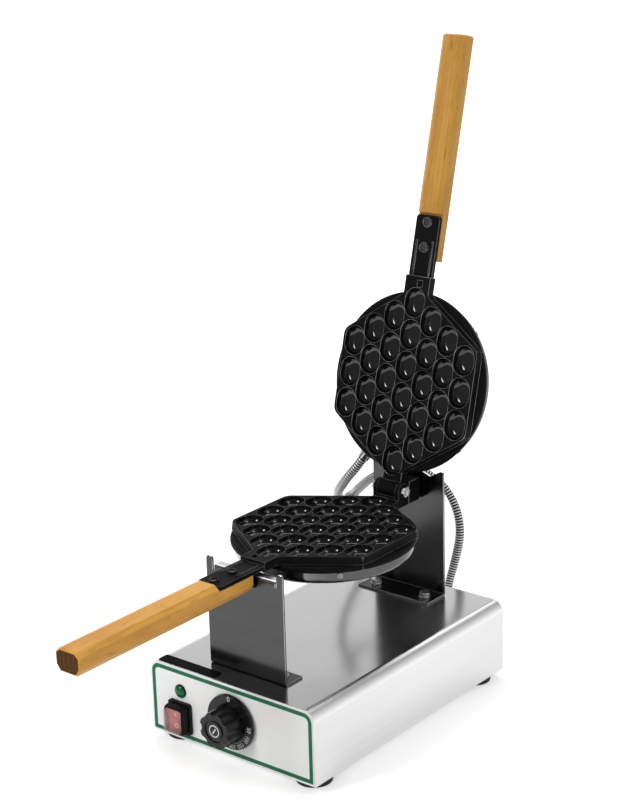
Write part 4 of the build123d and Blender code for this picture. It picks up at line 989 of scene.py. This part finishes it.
# Levels of the nameplate's edge and of its sunken face, as shares of its thickness, and what each is drawn in
PLATE_PROFILE = ((0.0, 0.0), (0.7, 0.0), (1.0, 0.0003), (1.0, 0.0007), (0.8, 0.0008))


class WAFFLE_OT_base(Operator):
    """Finish the steel base, its panels and its feet"""

    bl_idname = "waffle.base"
    bl_label = "Base"

    def execute(self, context):
        dress_by_slot(
            "base_casing", "front_panel", "rear_panel", "bottom_plate", "panel_overlay", "rubber_feet",
            "foot_screws", "foot_nuts", "bottom_screws", "terminal_block",
        )
        low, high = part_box("rubber_feet")
        shape = bmesh.new()
        for x in (low.x + FOOT_INSET, high.x - FOOT_INSET):
            for y in (low.y + FOOT_INSET, high.y - FOOT_INSET):
                middle = Vector((x, y, 0.0))
                turned_ring(shape, lambda *point: middle + Vector(point), FOOT_PROFILE)
        feet = piece_from(shape, "rubber_foot_cups", "base", "feet_rubber")
        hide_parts("rubber_feet")
        return {"FINISHED"}


class WAFFLE_OT_brackets(Operator):
    """Finish the two brackets, their bolts and the swivel between them"""

    bl_idname = "waffle.brackets"
    bl_label = "Brackets"

    def execute(self, context):
        dress_by_slot(
            "front_bracket", "rear_bracket", "bracket_bolts", "bracket_washers", "bracket_nuts",
            "swivel_shaft", "swivel_bush", "swivel_washer", "swivel_nut",
        )
        return {"FINISHED"}


class WAFFLE_OT_nameplate(Operator):
    """Lay the bare black plate on the front edge of the base"""

    bl_idname = "waffle.nameplate"
    bl_label = "Bare nameplate"

    def execute(self, context):
        sizes = context.scene.waffle_maker_sizes
        low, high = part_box("base_casing")
        middle = Vector((PLATE_ACROSS, low.y + PLATE_BEHIND, high.z))
        shape = bmesh.new()
        outline = rounded_outline(sizes.plate_length, sizes.plate_width, PLATE_CORNER)
        layers = []
        for share, drawn_in in PLATE_PROFILE:
            level = sizes.plate_thickness * share
            scale_x = 1 - drawn_in / (sizes.plate_length / 2)
            scale_y = 1 - drawn_in / (sizes.plate_width / 2)
            layers.append([
                shape.verts.new(middle + Vector((x * scale_x, y * scale_y, level))) for x, y in outline
            ])
        join_loops(shape, layers)
        shape.faces.new(layers[0][::-1])
        shape.faces.new(layers[-1])
        enamel = moulded_plastic("black_enamel", (0.003, 0.003, 0.003), 0.55, grain=0.00001, shine=0.03)
        piece_from(shape, "bare_nameplate", "base", "black_plastic", enamel, smooth=False)
        return {"FINISHED"}


# Knob and dial

# Where the numbers stand on the dial, in degrees clockwise from the top, and where the ticks do
DIAL_NUMBERS = ((0, "0"), (92, "50"), (118, "100"), (146, "150"), (174, "200"), (202, "250"), (230, "300"))
TICK_ANGLES = range(92, 232, 7)

# Sizes on the knob in metres
DIAL_THICKNESS = 0.003
NUMBER_RADIUS = 0.0246
NUMBER_DEPTH = 0.0001
TICK_RADIUS = 0.0211
TICK_SIZE = (0.00035, 0.0014, 0.0002)
KNOB_RING_INNER = 0.0052
KNOB_RING_OUTER = 0.0064
KNOB_RING_DEPTH = 0.00012
KNOB_BAR_SIZE = (0.0014, 0.0002, 0.0074)
KNOB_BAR_TURN = radians(35)

# Height of the zero against that of the other numbers
ZERO_SCALE = 1.25


def number_mesh(text, size, depth):
    """Mesh of a plain number, centred, facing +Z."""
    curve = bpy.data.curves.new("number", "FONT")
    curve.body = text
    curve.size = size
    curve.extrude = depth
    curve.resolution_u = 3
    curve.align_x = "CENTER"
    curve.align_y = "CENTER"
    return mesh_of(curve)


def add_mesh(shape, mesh, matrix):
    """Adds a mesh to the bmesh, moved by the matrix."""
    before = set(shape.verts)
    shape.from_mesh(mesh)
    fresh = [vertex for vertex in shape.verts if vertex not in before]
    bmesh.ops.transform(shape, matrix=matrix, verts=fresh)
    bpy.data.meshes.remove(mesh)


def box_at(shape, matrix, size):
    """Adds a box of this size, centred on the matrix."""
    scale = Matrix.Diagonal((*size, 1.0))
    bmesh.ops.create_cube(shape, size=1.0, matrix=matrix @ scale)


def dial_place(centre, degrees, radius):
    """Matrix of a place on the dial whose x runs clockwise, y outwards and z to the front."""
    turn = radians(degrees)
    out = Vector((sin(turn), 0.0, cos(turn)))
    right = Vector((cos(turn), 0.0, -sin(turn)))
    facing = Matrix((right, out, Vector((0.0, -1.0, 0.0)))).transposed().to_4x4()
    return Matrix.Translation(centre + out * radius) @ facing


class WAFFLE_OT_knob(Operator):
    """Finish the knob, with plain numbers and ticks on its skirt"""

    bl_idname = "waffle.knob"
    bl_label = "Knob and dial"

    def execute(self, context):
        sizes = context.scene.waffle_maker_sizes
        dress_by_slot("thermostat_knob", "thermostat_shaft", "thermostat_body", "thermostat_nut")
        centre = Vector(JOINTS["knob_turn"]["pos_m"])
        low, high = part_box("thermostat_knob")
        dial_middle = Vector((centre.x, high.y - DIAL_THICKNESS, centre.z))
        marks = bmesh.new()
        for degrees, text in DIAL_NUMBERS:
            scale = ZERO_SCALE if text == "0" else 1.0
            mesh = number_mesh(text, sizes.number_height * scale, NUMBER_DEPTH)
            add_mesh(marks, mesh, dial_place(dial_middle, degrees, NUMBER_RADIUS))
        for degrees in TICK_ANGLES:
            box_at(marks, dial_place(dial_middle, degrees, TICK_RADIUS), TICK_SIZE)
        piece_from(marks, "dial_marks", "knob", "white_plastic", smooth=False)

        def knob_front(x, z, forward):
            """A point ahead of the knob's front."""
            return Vector((centre.x + x, low.y - forward, centre.z + z))

        cap = bmesh.new()
        flat_ring(cap, knob_front, KNOB_RING_INNER, KNOB_RING_OUTER, KNOB_RING_DEPTH)
        slanted = Matrix.Translation(knob_front(0, 0, 0)) @ Matrix.Rotation(KNOB_BAR_TURN, 4, "Y")
        box_at(cap, slanted, KNOB_BAR_SIZE)
        piece_from(cap, "knob_ring", "knob", "white_plastic", smooth=False)
        return {"FINISHED"}


# Switch and lamp

# The rocker: tilt at rest, and in metres half its height and how far its middle and ends are from the pivot
ROCKER_TILT = radians(7.0)
ROCKER_HALF = 0.0122
ROCKER_WAIST = 0.0042
ROCKER_END = 0.006

# The bar on the rocker, in metres across it, down it and out of its face, and the bar's faces by corner
BAR_ACROSS = (-0.00055, 0.00055)
BAR_DOWN = (-0.0086, -0.0036)
BAR_OUT = (-0.0001, 0.00012)
BAR_FACES = ((0, 1, 3, 2), (4, 6, 7, 5), (0, 4, 5, 1), (2, 3, 7, 6), (0, 2, 6, 4), (1, 5, 7, 3))

# The ring on the rocker, in metres: how far down it is, its radii, how deep it starts and how thick it is
RING_DOWN = 0.0062
RING_INNER = 0.0016
RING_OUTER = 0.0025
RING_SUNK = 0.0001
RING_DEPTH = 0.00022

# The two steps round the switch, in metres: level ahead of its frame, width and height
SWITCH_STEPS = ((0.0, 0.0242, 0.0284), (0.0017, 0.0232, 0.0272))
STEP_CORNER = 0.0022

# Levels and trims of one step, from its back forwards and round
STEP_PROFILE = ((0.0, 0.0), (0.0013, 0.0), (0.0017, 0.0006), (0.0017, 0.0018), (0.0, 0.0018))

# The splash cap outside and inside, in metres: width, height, corner radius, and its levels and trims
CAP_OUTSIDE = (0.0214, 0.0254, 0.0024, ((0.0028, 0.0), (0.0062, 0.0008), (0.0072, 0.0016), (0.0075, 0.003)))
CAP_INSIDE = (0.0198, 0.0238, 0.0018, ((0.0066, 0.0014), (0.0060, 0.0008), (0.0028, 0.0)))

# The cap's tint, and the share that it hides of what lies behind it
CAP_TONE = (0.8, 0.56, 0.56)
CAP_COVER = 0.17


class WAFFLE_OT_switch(Operator):
    """Finish the splash-proof switch and mark its rocker with a plain bar and ring"""

    bl_idname = "waffle.switch"
    bl_label = "Switch and lamp"

    def execute(self, context):
        dress_by_slot("switch_frame", "switch_rocker", "lamp_holder", "lamp_lens")
        pivot = Vector(JOINTS["rocker_tilt"]["pos_m"])

        def rocker_face(across, down, forward):
            """A point on the rocker's hollow front, raised by forward."""
            out = ROCKER_WAIST + (ROCKER_END - ROCKER_WAIST) * abs(down) / ROCKER_HALF + forward
            y = -out * cos(ROCKER_TILT) + down * sin(ROCKER_TILT)
            z = -out * sin(ROCKER_TILT) - down * cos(ROCKER_TILT)
            return pivot + Vector((across, y, z))

        def ring_face(x, z, forward):
            """A point about the middle of the rocker's ring."""
            return rocker_face(x, RING_DOWN + z, forward - RING_SUNK)

        marks = bmesh.new()
        corners = []
        for forward in BAR_OUT:
            for down in BAR_DOWN:
                for across in BAR_ACROSS:
                    corners.append(marks.verts.new(rocker_face(across, down, forward)))
        for loop in BAR_FACES:
            marks.faces.new([corners[index] for index in loop])
        flat_ring(marks, ring_face, RING_INNER, RING_OUTER, RING_DEPTH, steps=32)
        piece_from(marks, "rocker_marks", "rocker", "white_plastic", smooth=False)

        low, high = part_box("switch_frame")
        centre = Vector(((low.x + high.x) / 2, low.y, (low.z + high.z) / 2))
        for number, (level, width, height) in enumerate(SWITCH_STEPS):
            step = bmesh.new()
            profile = [(level + rise, trim) for rise, trim in STEP_PROFILE]
            loops = front_loops(step, centre, width, height, STEP_CORNER, profile)
            join_loops(step, loops + loops[:1])
            piece_from(step, f"switch_step_{number + 1}", "base", "black_plastic", smooth=False)
        cap = bmesh.new()
        outer = front_loops(cap, centre, *CAP_OUTSIDE)
        inner = front_loops(cap, centre, *CAP_INSIDE)
        join_loops(cap, outer)
        join_loops(cap, inner + outer[:1])
        cap.faces.new(outer[-1])
        cap.faces.new(inner[0][::-1])
        clear = clear_rubber("clear_rubber_cap", CAP_TONE, CAP_COVER)
        piece_from(cap, "splash_cap", "base", "rocker_red", clear)
        return {"FINISHED"}


# Studio

# Each soft light: name, place, width and height in metres, and watts
LIGHTS = (
    ("key_light", (-0.7, -1.9, 1.45), (0.5, 0.9), 22.0),
    ("side_light", (1.6, 0.45, 1.9), (0.5, 0.9), 8.0),
    ("rear_light", (-0.7, 1.1, 2.0), (2.0, 1.4), 22.0),
)
LIGHT_AIM = (0.0, 0.05, 0.25)

# Half the floor's width in metres, its share of the background's tone, and the strength of the world's light
FLOOR_HALF = 30.0
FLOOR_SHARE = 0.8
SKY_LIGHT = 0.5

# Glow of the floor near the maker, seen by the camera and in mirrors
NEAR_GLOW = 0.42
NEAR_GLOW_MIRRORED = 0.38

# Glow that is added far from the maker, and the distances in metres at which it starts and is full
FAR_GLOW = 0.6
FAR_START = 0.45
FAR_FULL = 1.3


def soft_light(name, place, size, power):
    """Adds a rectangular light that faces the maker."""
    lamp = bpy.data.lights.new(name, "AREA")
    lamp.shape = "RECTANGLE"
    lamp.size, lamp.size_y = size
    lamp.energy = power
    holder = bpy.data.objects.new(name, lamp)
    holder.location = place
    holder.rotation_euler = (Vector(LIGHT_AIM) - Vector(place)).to_track_quat("-Z", "Y").to_euler()
    bpy.context.scene.collection.objects.link(holder)


def pale_floor(pale):
    """A floor that keeps the maker's shadow and goes over into the background far from it."""
    finish = Finish("pale_floor")
    seen, mirrored = finish.rays()
    reach = finish.place().dot(finish.place()) ** 0.5
    near = (seen * NEAR_GLOW).most(mirrored * NEAR_GLOW_MIRRORED)
    veil = near + seen.most(mirrored) * reach.ramp(FAR_START, FAR_FULL) * FAR_GLOW
    return finish.surface(
        Base_Color=toned(pale, FLOOR_SHARE),
        Roughness=0.8,
        Specular_IOR_Level=0.0,
        Emission_Color=veil.blend((0.0, 0.0, 0.0), pale),
        Emission_Strength=1.0,
    )


def white_surround(pale):
    """A world that looks white, is darker in mirrors above and in front, and lights the maker softly."""
    finish = Finish("white_surround", bpy.data.worlds)
    seen, mirrored = finish.rays()
    _, along, height = finish.split(finish.node("ShaderNodeTexCoord", output="Generated"))
    front = (0.0 - along).ramp(0.0, 0.5)
    sky = (1.0 - height.ramp(0.15, 0.75) * 0.76) * (1.0 - front * 0.8)
    around = finish.node("ShaderNodeBackground", None, {"Color": pale, "Strength": SKY_LIGHT})
    shown = finish.node("ShaderNodeBackground", None, {"Color": pale, "Strength": seen.most(mirrored * sky)})
    either = finish.node("ShaderNodeMixShader", None, {0: seen.most(mirrored), 1: around, 2: shown})
    finish.node("ShaderNodeOutputWorld", None, {"Surface": either})
    return finish.material


class WAFFLE_OT_studio(Operator):
    """Set up the pale floor, the white background and the soft lights"""

    bl_idname = "waffle.studio"
    bl_label = "Studio"

    def execute(self, context):
        scene = context.scene
        scene.view_settings.view_transform = "Standard"
        pale = tuple(scene.waffle_maker_colours.background)
        mesh = bpy.data.meshes.new("floor")
        shape = bmesh.new()
        bmesh.ops.create_grid(shape, x_segments=4, y_segments=4, size=FLOOR_HALF)
        shape.to_mesh(mesh)
        shape.free()
        mesh.materials.append(pale_floor(pale))
        floor = bpy.data.objects.new("floor", mesh)
        scene.collection.objects.link(floor)
        scene.world = white_surround(pale)
        for light in LIGHTS:
            soft_light(*light)
        return {"FINISHED"}


# Sidebar and registration


class WAFFLE_PT_sidebar(Panel):
    """Buttons for each group of pieces, and the sizes and colours"""

    bl_idname = "WAFFLE_PT_sidebar"
    bl_label = "Egg Waffle Maker"
    bl_space_type = "VIEW_3D"
    bl_region_type = "UI"
    bl_category = "Waffle Maker"

    def draw(self, context):
        layout = self.layout
        for operator in OPERATORS:
            layout.operator(operator.bl_idname)
        for settings in (context.scene.waffle_maker_sizes, context.scene.waffle_maker_colours):
            column = layout.column(align=True)
            for name in settings.__annotations__:
                column.prop(settings, name)


OPERATORS = (
    WAFFLE_OT_camera, WAFFLE_OT_conduits, WAFFLE_OT_pans, WAFFLE_OT_dishes, WAFFLE_OT_handles, WAFFLE_OT_base,
    WAFFLE_OT_brackets, WAFFLE_OT_nameplate, WAFFLE_OT_knob, WAFFLE_OT_switch, WAFFLE_OT_studio,
)
CLASSES = (WaffleMakerSizes, WaffleMakerColours) + OPERATORS + (WAFFLE_PT_sidebar,)


def register():
    """Makes the settings, the operators and the panel known to Blender."""
    for kind in CLASSES:
        bpy.utils.register_class(kind)
    bpy.types.Scene.waffle_maker_sizes = PointerProperty(type=WaffleMakerSizes)
    bpy.types.Scene.waffle_maker_colours = PointerProperty(type=WaffleMakerColours)


def unregister():
    """Takes back what register does."""
    del bpy.types.Scene.waffle_maker_colours
    del bpy.types.Scene.waffle_maker_sizes
    for kind in reversed(CLASSES):
        bpy.utils.unregister_class(kind)


def main():
    """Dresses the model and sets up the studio."""
    register()
    for step in (
        bpy.ops.waffle.camera, bpy.ops.waffle.conduits, bpy.ops.waffle.pans, bpy.ops.waffle.dishes,
        bpy.ops.waffle.handles, bpy.ops.waffle.base, bpy.ops.waffle.brackets, bpy.ops.waffle.nameplate,
        bpy.ops.waffle.knob, bpy.ops.waffle.switch, bpy.ops.waffle.studio,
    ):
        step()
    plain = [name for name, piece in frame["nodes"].items() if not piece.get("dressed")]
    if plain:
        raise RuntimeError("these pieces have no finish: " + ", ".join(plain))


if __name__ == "__main__":
    main()
